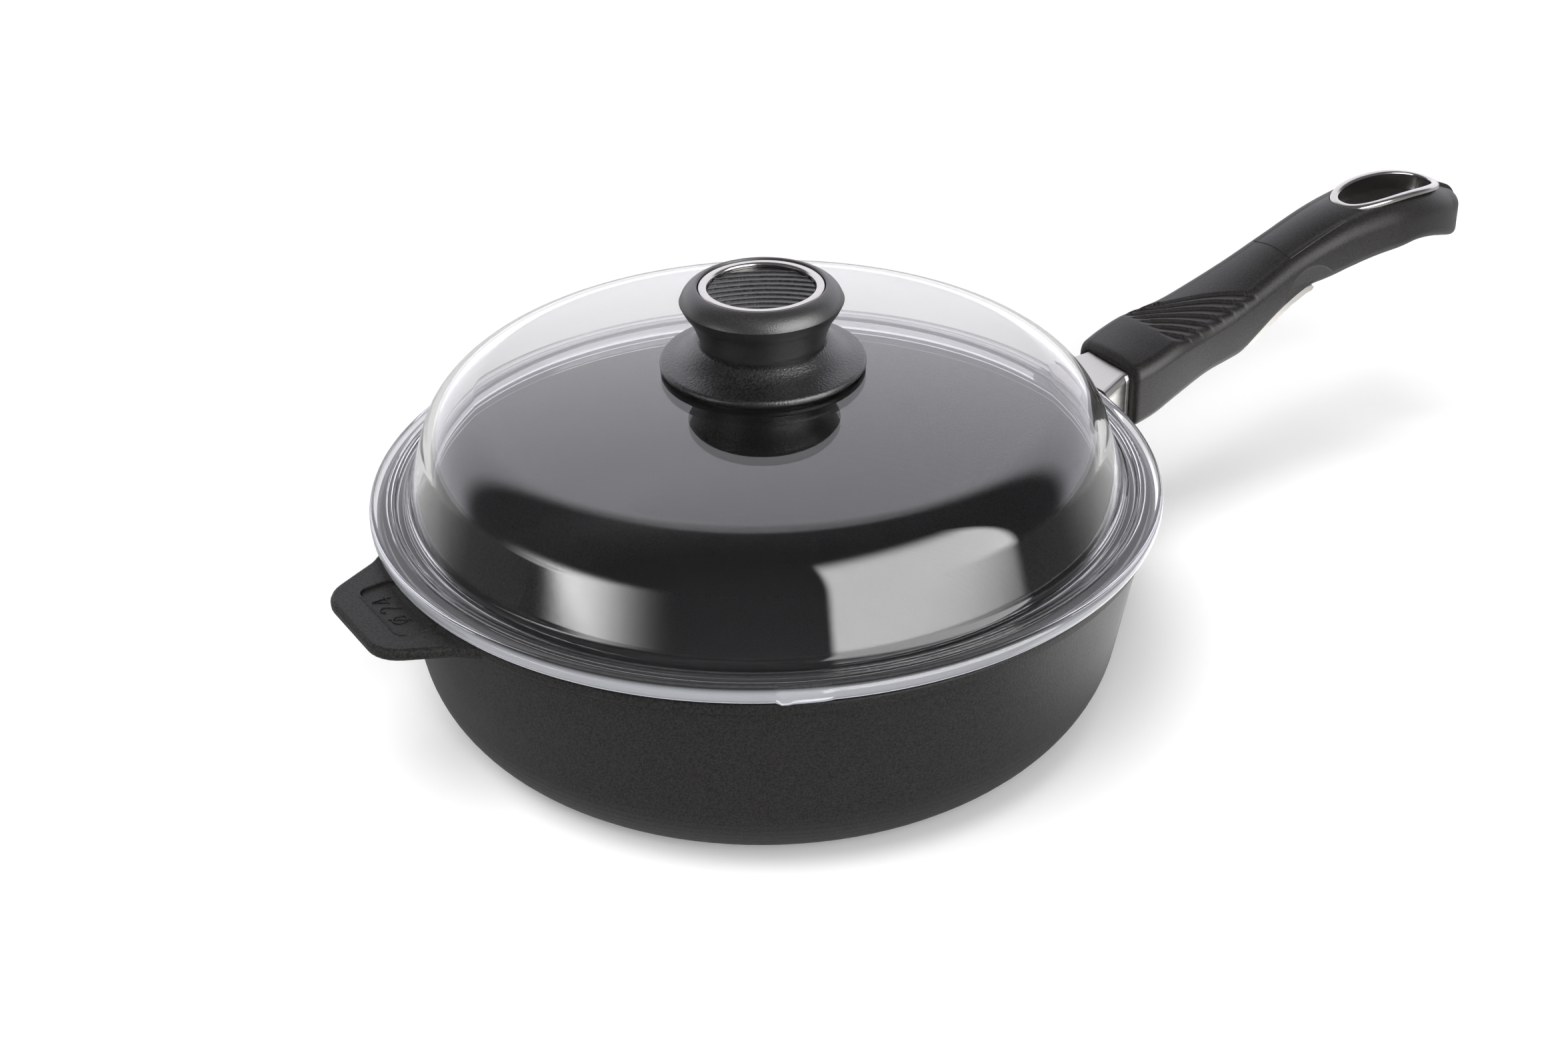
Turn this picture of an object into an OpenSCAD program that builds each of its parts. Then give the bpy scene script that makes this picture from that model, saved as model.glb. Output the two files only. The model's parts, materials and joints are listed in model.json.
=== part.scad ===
// Deep frying pan with a domed glass lid and a handle that slides off its steel bracket.
// The origin is the middle of the base on the table, +X points to the handle, +Z is up.

/* [Pan] */
// Inner diameter at the rim
pan_d = 240; // [200:4:320]
// Height of the rim above the table
pan_h = 75; // [60:1:100]
// Thickness of the cast wall
wall_t = 3.5; // [2.5:0.5:5]
// Thickness of the base
base_t = 6; // [4:0.5:9]
// How far the flat of the base lies inside the rim
base_inset = 39; // [32:1:46]
// Outer radius between base and wall
corner_r = 35; // [20:1:40]
// Inner radius between base and wall
inner_corner_r = 30; // [16:1:35]
// How far the band below the rim stands out of the wall
band_proud = 1.3; // [0.8:0.1:3]
// Height of the band
band_h = 3.5; // [2:0.5:6]
// Drop from the rim down to the band
band_drop = 1.5; // [1:0.5:4]
// Number of rings turned into the base
base_rings = 6; // [0:1:9]

/* [Helper lug] */
// Reach of the lug beyond the rim
lug_reach = 22.7; // [16:0.5:32]
// Half width of the lug at its outer corners, before they are rounded
lug_half_w = 19.6; // [14:0.2:24]
// Half width of the lug where it leaves the band
lug_root_half_w = 30; // [26:0.5:36]
// Thickness of the lug
lug_t = 4; // [3:0.5:6]
// Depth of the recess in the lug
lug_recess = 0.8; // [0.4:0.1:1.5]

/* [Lid] */
// Thickness of the glass
glass_t = 4; // [3:0.5:5]
// Thickness of the flange that rests on the rim
flange_t = 5; // [3.5:0.5:7]
// How far the flange reaches past the inner rim
flange_over = 7.5; // [6:0.5:8]
// Rise of the crown above the flange
lid_rise = 39.5; // [30:0.5:55]
// Radius of the crown
crown_r = 700; // [500:10:1000]
// Radius of the shoulder of the dome
shoulder_r = 22; // [14:1:30]
// Lean of the dome wall from upright, in degrees
lid_lean = 18; // [10:1:25]
// How far the foot of the dome lies inside the inner rim
foot_inset = 4.3; // [4:0.1:8]
// Depth of the skirt that keeps the lid in place
skirt_h = 3; // [2:0.5:6]

/* [Knob] */
// Radius of the flared foot
knob_foot_r = 32.7; // [28:0.1:38]
// Height of the foot
knob_foot_h = 9; // [7:0.5:12]
// Radius where the neck leaves the foot
neck_r = 19.6; // [16:0.1:22]
// Radius of the head
head_r = 25.8; // [24:0.1:30]
// Height of the knob above its seat on the glass
knob_h = 27.6; // [24:0.1:34]
// Outer radius of the steel ring
ring_r = 20; // [17:0.1:21]
// Width of the steel ring
ring_w = 3; // [2:0.1:4]
// Number of ribs on the disc
rib_count = 9; // [5:1:12]

/* [Bracket] */
// Slope of the tongue, in degrees
tongue_slope = 11.6; // [8:0.2:15]
// Thickness of the sheet
sheet_t = 2; // [1.5:0.1:2.5]
// Half width of the channel at the mouth of the grip
channel_half_w = 12.4; // [11.5:0.1:13]
// Half width of the tongue inside the grip
tongue_half_w = 9; // [7:0.5:10]

/* [Grip] */
// Length of the grip
grip_l = 167; // [160:1:185]
// Rise of the grip from its lowest point to the top of its arch
grip_h = 58.4; // [54:0.2:64]
// Half width of the grip at its widest point
grip_half_w = 17.4; // [16.4:0.1:19]
// Depth of the lowest point of the grip below the rim of the pan
grip_drop = 15; // [11:0.5:18]
// Gap between the front of the pan wall and the grip
grip_gap = 18; // [17:0.5:24]
// Number of flutes on the top of the grip
flute_count = 7; // [3:1:9]
// Depth of the flutes
flute_depth = 1.2; // [0.4:0.1:1.6]

/* [Hanging ring] */
// Half length of the ring
eye_half_l = 23.6; // [20:0.1:25]
// Half width of the ring
eye_half_w = 12.2; // [11:0.1:12.6]
// Width of the rim of the ring
eye_rim = 3; // [2:0.1:3.6]

/* [Lever] */
// Radius of the pivot pin
pin_r = 1.5; // [1:0.1:2]
// Half width of the lever
lever_half_w = 9.8; // [8:0.1:10]

/* [Hidden] */
$fn = 96;

// One overrun for all cuts
over = 1;
// Clearance of a running pin, on the radius
pin_gap = 0.05;
// Clearance between pieces that slide
slide_gap = 0.3;
// Clearance between pieces that are seated by hand
seat_gap = 0.1;

// Pan profile
rim_r = pan_d / 2;
base_r = rim_r - base_inset;
rim_round = 0.8;
band_top = pan_h - band_drop;
band_bottom = band_top - band_h;
wall_top_r = rim_r + wall_t;
band_r = wall_top_r + band_proud;
wall_reach = norm([wall_top_r - base_r, band_top - corner_r]);
wall_lean = acos(corner_r / wall_reach) - atan2(band_top - corner_r, wall_top_r - base_r);
inner_corner_z = base_t + inner_corner_r;
inner_corner_x = rim_r - (pan_h - inner_corner_z) * tan(wall_lean) - inner_corner_r / cos(wall_lean);
ring_pitch = 11;
ring_groove_w = 1.2;
ring_groove_d = 0.4;
ring_first_r = 14;

// Lug
lug_top = band_top;
lug_x = -(wall_top_r + lug_reach);
lug_corner_r = 12;
lug_fillet_r = 9;
lug_flare = 6.5;
lug_root_gap = 2;
lug_root_x = -(wall_top_r + lug_root_gap);
lug_bury = 10;
lug_deep_x = -(rim_r - lug_bury);
lug_edge_r = 1.2;
lug_recess_margin = 8.9;
lug_recess_l = 13.3;
lug_recess_taper = 1;
lug_recess_half_w = 16.75;
lug_recess_r = 4;

// Boss for the bracket
boss_proud = 5.5;
boss_x = wall_top_r + boss_proud;
boss_half_w = 12.5;
boss_top = band_bottom;
boss_h = 21;
boss_root_h = 32;
boss_round = 4;

// Handle frame: a point on the top of the tongue, below which the tongue slopes
mouth_x = wall_top_r + grip_gap;
mouth_gap = 1.5;
grip_z = pan_h - grip_drop;
tongue_share = 0.2815;
tongue_rise_share = 0.344;
channel_share = 0.288;
tongue_x = mouth_x - mouth_gap;
tongue_z = grip_z + tongue_rise_share * grip_h;
tongue_l = tongue_share * grip_l;
channel_h = channel_share * grip_h;
bend_r = 2.8;
web_t = 1.8;
web_x = boss_x;
web_bottom = boss_top - boss_h + boss_round / 4;
flare = 0.267;
socket_depth = 7;
window_l = 4;
window_half_w = 3.2;
window_share = 0.883;
window_s = window_share * tongue_l;

// Bracket screw
bscrew_r = 2.4;
bscrew_head_r = 4.4;
bscrew_head_h = 3;
bscrew_l = 9;
bscrew_drop = 10;
bscrew_z = boss_top - bscrew_drop;
bwasher_r = 5.4;
bwasher_t = 1;

// Lid profile
flange_top = pan_h + flange_t;
flange_r = rim_r + flange_over;
flange_round = 2;
crown_top = flange_top + lid_rise;
crown_z = crown_top - crown_r;
foot_r = rim_r - foot_inset;
foot_fillet = 4;
skirt_gap = 1;
skirt_r = rim_r - skirt_h * tan(wall_lean) - skirt_gap;
seat_r = 31;
glass_seat = crown_z + sqrt(pow(crown_r, 2) - pow(seat_r, 2));
glass_under = crown_z + sqrt(pow(crown_r - glass_t, 2) - pow(seat_r, 2));
glass_hole_r = 4;

// Knob parts
gasket_t = 1.2;
upper_gasket_r = 27;
lower_gasket_r = 11;
knob_lift = 0.3;
screw_r = 2.4;
screw_clear = 0.3;
screw_head_r = 5.5;
screw_head_h = 3;
screw_round = 1;
washer_r = 9;
washer_t = 1;
insert_r = 5.5;
insert_h = 14;
insert_lift = 7;
neck_seat = 2.5;
neck_lean = 14;
neck_top_lean = 32;
neck_sweep_r = 45;
head_round = 5.3;
head_lip_gap = 0.3;
foot_edge_r = 1.1;
foot_lip_t = 2.4;
foot_lip_slope = 0.3;
foot_shelf = 1.9;
foot_shoulder_r = 3;
foot_sweep_r = 12;
ring_round = 1;
ring_h = 2.6;
ring_proud = 0.5;
ring_top = glass_seat + knob_h - ring_proud;
disc_drop = 1.2;
disc_t = 2;
rib_r = 0.9;
disc_r = ring_r - ring_w - 2 * seat_gap;
rib_bow_r = 50;
rib_sweep = 70;
rib_turn = -31;
foot_z = glass_seat + knob_lift;
neck_z = glass_seat + knob_foot_h;
head_z = glass_seat + knob_h;

// Grip stations: how far along the grip, and how high in it, as shares of its size
grip_top_share = [[0, 0.411], [0.051, 0.457], [0.111, 0.51], [0.2, 0.555], [0.29, 0.625],
    [0.38, 0.717], [0.47, 0.817], [0.59, 0.925], [0.69, 0.978], [0.76, 0.991], [0.83, 0.98],
    [0.89, 0.945], [0.95, 0.88], [1, 0.81]];
grip_bottom_share = [[0, 0], [0.051, 0.053], [0.111, 0.123], [0.2, 0.2], [0.27, 0.24],
    [0.3, 0.26], [0.34, 0.325], [0.4, 0.43], [0.46, 0.515], [0.5, 0.557], [0.53, 0.568],
    [0.56, 0.58], [0.6, 0.603], [0.68, 0.642], [0.757, 0.659], [0.8, 0.664], [0.86, 0.635],
    [0.93, 0.57], [1, 0.49]];
grip_width_share = [[0, 0.935], [0.051, 1], [0.111, 0.985], [0.2, 0.895], [0.29, 0.87],
    [0.38, 0.81], [0.47, 0.776], [0.59, 0.835], [0.71, 0.935], [0.76, 0.96], [1, 0.98]];
tip_share = 0.72;
tip_power = 1.7;
tip_top_round = 6;
tip_low_round = 3;
tip_turn = 85;
corner_limit = 0.92;
grip_front_round = 2.2;
grip_front_share = 0.0135;
top_corner_share = [[0, 0.3], [0.56, 0.345], [0.8, 0.48], [1, 0.48]];
crown_share = [[0, 0.05], [0.4, 0.057], [0.6, 0.08], [1, 0.08]];
low_corner_r = 4;
grip_x = mouth_x;

// Flutes: start line, end line and width of the field, as shares of the grip
flute_line_share = 0.102;
flute_start_share = 0.121;
flute_end_share = 0.34;
flute_skew_share = 0.195;
flute_bow_share = 0.096;
flute_fade_share = 0.025;
flute_side_share = 0.125;
flute_step_share = 0.16;

// Hanging hole
eye_x_share = 0.7695;
eye_x = grip_x + eye_x_share * grip_l;
eye_power = 2.4;
eye_steps = 48;
eye_rise_share = 0.985;
eye_top = grip_z + eye_rise_share * grip_h;
eye_arch_share = 0.1;
eye_wall = 1.1;
eye_depth = 6;
eye_rim_t = 1.2;
eye_bead = 0.9;

// Scoops for the fingers beside the lever
scoop_r = 12.5;
scoop_x_share = 0.4935;
scoop_z_share = 0.497;
scoop_depth = 1.6;
scoop_tilt = 4;

// Lever mechanism
pin_x_share = 0.344;
pin_z_share = 0.39;
pin_x = grip_x + pin_x_share * grip_l;
pin_z = grip_z + pin_z_share * grip_h;
pin_l = 24;
hub_r = 3;
lever_gap = 0.5;
lever_under_share = [[0.342, 0.262], [0.362, 0.269], [0.392, 0.329], [0.428, 0.392],
    [0.464, 0.45], [0.5, 0.493], [0.518, 0.505]];
lever_top_share = [[0.522, 0.523], [0.516, 0.541], [0.487, 0.534], [0.458, 0.519],
    [0.446, 0.488], [0.428, 0.443], [0.392, 0.38], [0.362, 0.33], [0.342, 0.32]];
cavity_x_share = 0.293;
cavity_end_share = 0.536;
cavity_roof_share = [[0.293, 0.45], [0.34, 0.47], [0.38, 0.47], [0.42, 0.545], [0.453, 0.605],
    [0.5, 0.645], [0.536, 0.645]];
arm_half_w = 4;
arm_t = 2.4;
arm_gap = 0.15;
leaf_t = 0.8;
leaf_half_w = 4.5;
leaf_gap = 0.4;
leaf_start_share = 0.32;
leaf_step_share = 0.947;
leaf_tail_share = 1.064;
leaf_s = leaf_start_share * tongue_l;
leaf_step_s = leaf_step_share * tongue_l;
leaf_tail_s = leaf_tail_share * tongue_l;
leaf_step = 3.6;
tooth_rise = 1;
room_share = 0.137;
room_h = room_share * grip_h;
sscrew_r = 1.4;
sscrew_head_r = 2.6;
sscrew_head_h = 2;
sscrew_l = 6;
sscrew_share = 0.404;
sscrew_s = sscrew_share * tongue_l;

// Points of an arc in a plane, from one angle to another
function arc(x, y, r, from, to, steps) =
    [for (i = [0:steps]) let (a = from + (to - from) * i / steps) [x + r * cos(a), y + r * sin(a)]];

// A smooth curve through a table of [place, value]
function table_slope(t, i) =
    let (a = max(i - 1, 0), b = min(i + 1, len(t) - 1)) (t[b][1] - t[a][1]) / (t[b][0] - t[a][0]);
function table_cell(t, u, i = 0) =
    (i >= len(t) - 2 || u <= t[i + 1][0]) ? i : table_cell(t, u, i + 1);
function curve(t, u) =
    let (i = table_cell(t, u), w = t[i + 1][0] - t[i][0], s = (u - t[i][0]) / w,
         m0 = table_slope(t, i) * w, m1 = table_slope(t, i + 1) * w)
    t[i][1] * (2 * pow(s, 3) - 3 * pow(s, 2) + 1) + m0 * (pow(s, 3) - 2 * pow(s, 2) + s)
    + t[i + 1][1] * (3 * pow(s, 2) - 2 * pow(s, 3)) + m1 * (pow(s, 3) - pow(s, 2));

// A closed skin over rings of as many points each, which run anticlockwise seen from the last ring
module skin(rings, closed = false) {
    n = len(rings[0]);
    m = len(rings);
    last = closed ? m - 1 : m - 2;
    points = [for (ring = rings) for (p = ring) p];
    walls = [for (i = [0:last]) for (j = [0:n - 1])
        let (a = i * n + j, b = i * n + (j + 1) % n, c = ((i + 1) % m) * n + (j + 1) % n,
             d = ((i + 1) % m) * n + j)
        each [[a, c, b], [a, d, c]]];
    ends = closed ? [] : [[for (j = [0:n - 1]) j], [for (j = [n - 1:-1:0]) (m - 1) * n + j]];
    polyhedron(points, concat(walls, ends), convexity = 8);
}

// A corner of an outline, rounded by an arc that touches both of its sides
function round_corner(a, b, c, r, steps) =
    let (u = (a - b) / norm(a - b), v = (c - b) / norm(c - b), half = acos(u * v) / 2,
         mid = (u + v) / norm(u + v), o = b + mid * r / sin(half),
         p = b + u * r / tan(half), q = b + v * r / tan(half),
         f = atan2(p[1] - o[1], p[0] - o[0]), g = atan2(q[1] - o[1], q[0] - o[0]),
         turn = g - f > 180 ? g - f - 360 : g - f < -180 ? g - f + 360 : g - f)
    arc(o[0], o[1], r, f, f + turn, steps);
// An outline with each corner rounded by its own radius
function rounded(pts, radii, steps = 6) =
    [for (i = [0:len(pts) - 1]) let (n = len(pts))
        each radii[i] > 0 ? round_corner(pts[(i + n - 1) % n], pts[i], pts[(i + 1) % n], radii[i], steps)
                          : [pts[i]]];

// Pan

// Outside of the pan, with the band and the rim, as a filled profile
function pan_outside() = concat(
    [[0, 0]],
    arc(base_r, corner_r, corner_r, -90, -wall_lean, 16),
    [[wall_top_r - band_h * tan(wall_lean), band_bottom]],
    arc(band_r - rim_round, band_bottom + rim_round, rim_round, -90, 0, 4),
    arc(band_r - rim_round, band_top - rim_round, rim_round, 0, 90, 4),
    [[wall_top_r, band_top]],
    arc(wall_top_r - rim_round, pan_h - rim_round, rim_round, 0, 90, 4),
    [[0, pan_h]]);
// The hollow of the pan
function pan_inside() = concat(
    [[0, base_t]],
    arc(inner_corner_x, inner_corner_z, inner_corner_r, -90, -wall_lean, 16),
    [[rim_r, pan_h], [rim_r + over * tan(wall_lean), pan_h + over], [0, pan_h + over]]);

// Outline of the lug, drawn in by an inset: it widens inwards and flares into the band
function lug_outline(inset) =
    let (m = (lug_root_half_w - lug_half_w) / (lug_root_x - lug_x), slant = sqrt(1 + m * m),
         x = lug_x + inset, w = lug_half_w + inset * (m - slant),
         root = lug_root_half_w - inset * slant, flare_w = lug_root_half_w + lug_flare - inset,
         flare_x = -sqrt(pow(band_r, 2) - pow(flare_w, 2)) + band_proud)
    rounded([[lug_deep_x, flare_w], [flare_x, flare_w], [lug_root_x, root], [x, w],
             [x, -w], [lug_root_x, -root], [flare_x, -flare_w], [lug_deep_x, -flare_w]],
            [0, 0, lug_fillet_r + inset, lug_corner_r - inset, lug_corner_r - inset,
             lug_fillet_r + inset, 0, 0]);

module lug() {
    levels = [[-lug_t, lug_edge_r], [-lug_t + lug_edge_r / 3, lug_edge_r / 3],
              [-lug_t + lug_edge_r, 0], [-lug_edge_r, 0],
              [-lug_edge_r / 3, lug_edge_r / 3], [0, lug_edge_r]];
    skin([for (v = levels) [for (p = lug_outline(v[1])) [p[0], p[1], lug_top + v[0]]]]);
}

module lug_recess_cut() {
    x0 = lug_x + lug_recess_margin;
    x1 = x0 + lug_recess_l;
    w0 = lug_recess_half_w - lug_recess_taper;
    translate([0, 0, lug_top - lug_recess])
        linear_extrude(lug_recess + over)
            polygon(rounded([[x0, w0], [x0, -w0], [x1, -lug_recess_half_w], [x1, lug_recess_half_w]],
                            [lug_recess_r, lug_recess_r, lug_recess_r, lug_recess_r]));
}

module boss() {
    x0 = base_r + corner_r;
    rotate([90, 0, 0])
        linear_extrude(2 * boss_half_w, center = true)
            polygon(rounded([[x0, boss_top], [x0, boss_top - boss_root_h],
                             [boss_x, boss_top - boss_h], [boss_x, boss_top]],
                            [0, 0, boss_round, 0]));
}

module base_grooves() {
    for (i = [0:1:base_rings - 1])
        translate([0, 0, -over])
            difference() {
                cylinder(r = ring_first_r + i * ring_pitch + ring_groove_w, h = over + ring_groove_d);
                translate([0, 0, -over])
                    cylinder(r = ring_first_r + i * ring_pitch, h = 3 * over + ring_groove_d);
            }
}

module pan_body() {
    color("dimgray")
        difference() {
            union() {
                rotate_extrude() polygon(pan_outside());
                lug();
                boss();
            }
            rotate_extrude() polygon(pan_inside());
            lug_recess_cut();
            base_grooves();
            translate([boss_x - bscrew_l, 0, bscrew_z])
                rotate([0, 90, 0]) cylinder(r = bscrew_r + pin_gap, h = bscrew_l + over);
        }
}

// Bracket

// A point given along the tongue, across it and above its top face
function tongue_point(s, y, h) = [
    tongue_x + s * cos(tongue_slope) - h * sin(tongue_slope), y,
    tongue_z + s * sin(tongue_slope) + h * cos(tongue_slope)];
module on_tongue() {
    translate([tongue_x, 0, tongue_z]) rotate([0, -tongue_slope, 0]) children();
}

// One face of the channel's section, over the top from one cheek to the other
function channel_path(w, inset) = concat(
    [[w - inset, -channel_h]],
    arc(w - bend_r, -bend_r, bend_r - inset, 0, 90, 5),
    arc(-w + bend_r, -bend_r, bend_r - inset, 90, 180, 5),
    [[-w + inset, -channel_h]]);
// The channel: straight in the grip, and wider from its mouth to the upright web
module channel(front_w) {
    outer = channel_path(channel_half_w, 0);
    inner = channel_path(channel_half_w, sheet_t);
    front_outer = channel_path(front_w, 0);
    front_inner = channel_path(front_w, sheet_t);
    skin([for (i = [0:len(outer) - 1]) [
        upright_point(web_x + seat_gap, front_outer[i]),
        upright_point(web_x + seat_gap, front_inner[i]),
        upright_point(tongue_x, inner[i]),
        tongue_point(socket_depth, inner[i][0], inner[i][1]),
        tongue_point(socket_depth, outer[i][0], outer[i][1]),
        upright_point(tongue_x, outer[i])]]);
}
// A point of the channel's section on an upright plane across the handle
function upright_point(x, p) =
    tongue_point((x - tongue_x + p[1] * sin(tongue_slope)) / cos(tongue_slope), p[0], p[1]);

module handle_bracket() {
    front_w = channel_half_w + flare * (mouth_x - web_x);
    // The web ends in the middle of the sheet on all three sides
    web_w = front_w - flare * web_t - sheet_t / 2;
    web_top = tongue_z - (tongue_x - web_x) * tan(tongue_slope) - sheet_t / 2;
    color("lightgray")
        difference() {
            union() {
                channel(front_w);
                translate([web_x, 0, 0])
                    rotate([90, 0, 90])
                        linear_extrude(web_t)
                            polygon(rounded([[web_w, web_bottom], [web_w, web_top],
                                             [-web_w, web_top], [-web_w, web_bottom]],
                                            [boss_round, 0, 0, boss_round]));
                on_tongue()
                    translate([0, 0, seat_gap - sheet_t])
                        linear_extrude(sheet_t - 2 * seat_gap)
                            polygon(rounded([[0, tongue_half_w], [0, -tongue_half_w],
                                             [tongue_l, -tongue_half_w], [tongue_l, tongue_half_w]],
                                            [0, 0, bend_r, bend_r]));
            }
            on_tongue()
                translate([window_s - window_l / 2, -window_half_w, -2 * sheet_t])
                    cube([window_l, 2 * window_half_w, 3 * sheet_t]);
            translate([web_x - over, 0, bscrew_z])
                rotate([0, 90, 0]) cylinder(r = bscrew_r + slide_gap, h = web_t + 2 * over);
        }
}

module bracket_washer() {
    color("silver")
        translate([web_x + web_t, 0, bscrew_z])
            rotate([0, 90, 0])
                difference() {
                    cylinder(r = bwasher_r, h = bwasher_t);
                    translate([0, 0, -over])
                        cylinder(r = bscrew_r + slide_gap, h = bwasher_t + 2 * over);
                }
}

module bracket_screw() {
    head_x = web_x + web_t + bwasher_t;
    color("silver")
        translate([head_x, 0, bscrew_z])
            rotate([0, 90, 0])
                difference() {
                    union() {
                        cylinder(r = bscrew_head_r, h = bscrew_head_h);
                        translate([0, 0, -(head_x - boss_x) - bscrew_l + over])
                            cylinder(r = bscrew_r, h = head_x - boss_x + bscrew_l - over);
                    }
                    translate([0, 0, bscrew_head_h / 2])
                        cylinder(r = bscrew_head_r / 2, h = bscrew_head_h, $fn = 6);
                }
}

// Lid

// Middle of the shoulder arc: it touches the dome wall and the crown
function shoulder_x(z) = foot_r - (z - flange_top) * tan(lid_lean) - shoulder_r / cos(lid_lean);
function shoulder_z(n, x) =
    let (z = crown_z + sqrt(pow(crown_r - shoulder_r, 2) - pow(x, 2)))
    n <= 0 ? z : shoulder_z(n - 1, shoulder_x(z));
shoulder_rounds = 12;
sh_z = shoulder_z(shoulder_rounds, base_r);
sh_x = shoulder_x(sh_z);
// The shoulder meets the crown on the line through both middles
sh_up = atan2(sh_z - crown_z, sh_x);
function dome_wall_r(z, inset) = foot_r - (z - flange_top) * tan(lid_lean) - inset / cos(lid_lean);

function lid_profile() =
    let (fr = foot_fillet, foot_x = dome_wall_r(flange_top + fr, 0) + fr / cos(lid_lean),
         skirt_z = pan_h - skirt_h, skirt_in = dome_wall_r(skirt_z, glass_t))
    concat(
        [[glass_hole_r, glass_under], [glass_hole_r, glass_seat]],
        arc(0, crown_z, crown_r, acos(seat_r / crown_r), sh_up, 8),
        arc(sh_x, sh_z, shoulder_r, sh_up, lid_lean, 10),
        arc(foot_x, flange_top + fr, fr, 180 + lid_lean, 270, 5),
        arc(flange_r - flange_round, flange_top - flange_round, flange_round, 90, 0, 5),
        arc(flange_r - flange_round, pan_h + flange_round, flange_round, 0, -90, 5),
        [[skirt_r, pan_h]],
        arc(skirt_r - rim_round, skirt_z + rim_round, rim_round, 0, -90, 3),
        arc(skirt_in + rim_round, skirt_z + rim_round, rim_round, -90, -180 + lid_lean, 3),
        arc(sh_x, sh_z, shoulder_r - glass_t, lid_lean, sh_up, 10),
        arc(0, crown_z, crown_r - glass_t, sh_up, acos(seat_r / (crown_r - glass_t)), 8));

module lid_glass() {
    color("lightcyan", 0.5)
        rotate_extrude() polygon(lid_profile());
}

module ring_solid(outer, inner, h) {
    rotate_extrude() translate([inner, 0]) square([outer - inner, h]);
}

module upper_gasket() {
    color("gray")
        translate([0, 0, glass_seat])
            ring_solid(upper_gasket_r, screw_r + screw_clear, gasket_t);
}

module lower_gasket() {
    color("gray")
        translate([0, 0, glass_under - gasket_t])
            ring_solid(lower_gasket_r, screw_r + screw_clear, gasket_t);
}

module knob_washer() {
    color("silver")
        translate([0, 0, glass_under - gasket_t - washer_t])
            ring_solid(washer_r, screw_r + screw_clear, washer_t);
}

module knob_screw() {
    under = glass_under - gasket_t - washer_t;
    tip = glass_seat + insert_lift + insert_h - screw_round;
    color("silver")
        difference() {
            rotate_extrude()
                polygon(concat([[0, under - screw_head_h]],
                               arc(screw_head_r - screw_round, under - screw_head_h + screw_round,
                                   screw_round, -90, 0, 4),
                               [[screw_head_r, under], [screw_r, under], [screw_r, tip - screw_round],
                                [screw_r - screw_round, tip], [0, tip]]));
            translate([0, 0, under - screw_head_h - over])
                cylinder(r = screw_head_r / 2, h = over + screw_head_h / 2, $fn = 6);
        }
}

module knob_insert() {
    color("goldenrod")
        translate([0, 0, glass_seat + insert_lift])
            ring_solid(insert_r, screw_r + pin_gap, insert_h);
}

// The foot: a recess for the gasket below, a rounded lip, and a slope that sweeps up to the neck
module knob_base() {
    lip_z = foot_z + foot_lip_t;
    shelf_r = neck_r + foot_shelf;
    // Where the slope of the shoulder, one to one, would meet the slope of the lip
    sweep_x = (neck_z - lip_z + shelf_r - foot_lip_slope * knob_foot_r) / (1 - foot_lip_slope);
    sweep_z = neck_z + shelf_r - sweep_x;
    color("dimgray")
        rotate_extrude()
            polygon(rounded(
                [[screw_r + screw_clear, glass_seat + gasket_t],
                 [upper_gasket_r + slide_gap, glass_seat + gasket_t],
                 [upper_gasket_r + slide_gap, foot_z], [knob_foot_r, foot_z],
                 [knob_foot_r, lip_z], [sweep_x, sweep_z], [shelf_r, neck_z],
                 [neck_r + seat_gap, neck_z], [neck_r + seat_gap, neck_z - neck_seat],
                 [screw_r + screw_clear, neck_z - neck_seat]],
                [0, 0, 0, foot_edge_r, foot_edge_r, foot_sweep_r, foot_shoulder_r, 0, 0, 0]));
}

// Neck and head: the neck widens upwards in a hollow curve to the edge of the round head
module knob_body() {
    lip_r = ring_r + head_lip_gap;
    floor_z = ring_top - ring_h;
    disc_seat_z = ring_top - disc_drop - disc_t;
    color("dimgray")
        difference() {
            rotate_extrude()
                polygon(concat(
                    [[0, neck_z - neck_seat], [neck_r, neck_z - neck_seat]],
                    arc(neck_r + neck_sweep_r * cos(neck_lean), neck_z - neck_sweep_r * sin(neck_lean),
                        neck_sweep_r, 180 - neck_lean, 180 - neck_top_lean, 10),
                    arc(head_r - head_round, head_z - head_round, head_round, 0, 88, 12),
                    [[lip_r, head_z - head_lip_gap], [lip_r, floor_z],
                     [ring_r - ring_w - seat_gap, floor_z],
                     [ring_r - ring_w - seat_gap, disc_seat_z], [0, disc_seat_z]]));
            translate([0, 0, glass_seat + insert_lift])
                cylinder(r = insert_r, h = insert_h);
            translate([0, 0, neck_z - neck_seat - over])
                cylinder(r = screw_r + screw_clear, h = knob_foot_h);
        }
}

module knob_ring() {
    color("silver")
        rotate_extrude()
            polygon(rounded([[ring_r - ring_w, ring_top - ring_h], [ring_r, ring_top - ring_h],
                             [ring_r, ring_top], [ring_r - ring_w, ring_top]],
                            [0, 0, ring_round, ring_round]));
}

// The disc carries bowed ribs that run across it
module knob_disc() {
    face_z = ring_top - disc_drop;
    pitch = 2 * disc_r / (rib_count + 1);
    color("dimgray")
        intersection() {
            translate([0, 0, face_z - disc_t]) cylinder(r = disc_r, h = 2 * disc_t);
            union() {
                translate([0, 0, face_z - disc_t]) cylinder(r = disc_r, h = disc_t - rib_r / 2);
                rotate([0, 0, rib_turn])
                    translate([0, -rib_bow_r, face_z - rib_r])
                        for (i = [1:rib_count])
                            rotate([0, 0, 90 - rib_sweep / 2])
                                rotate_extrude(angle = rib_sweep)
                                    translate([rib_bow_r + disc_r - i * pitch, 0])
                                        circle(r = rib_r, $fn = 24);
            }
        }
}

// Grip

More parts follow.
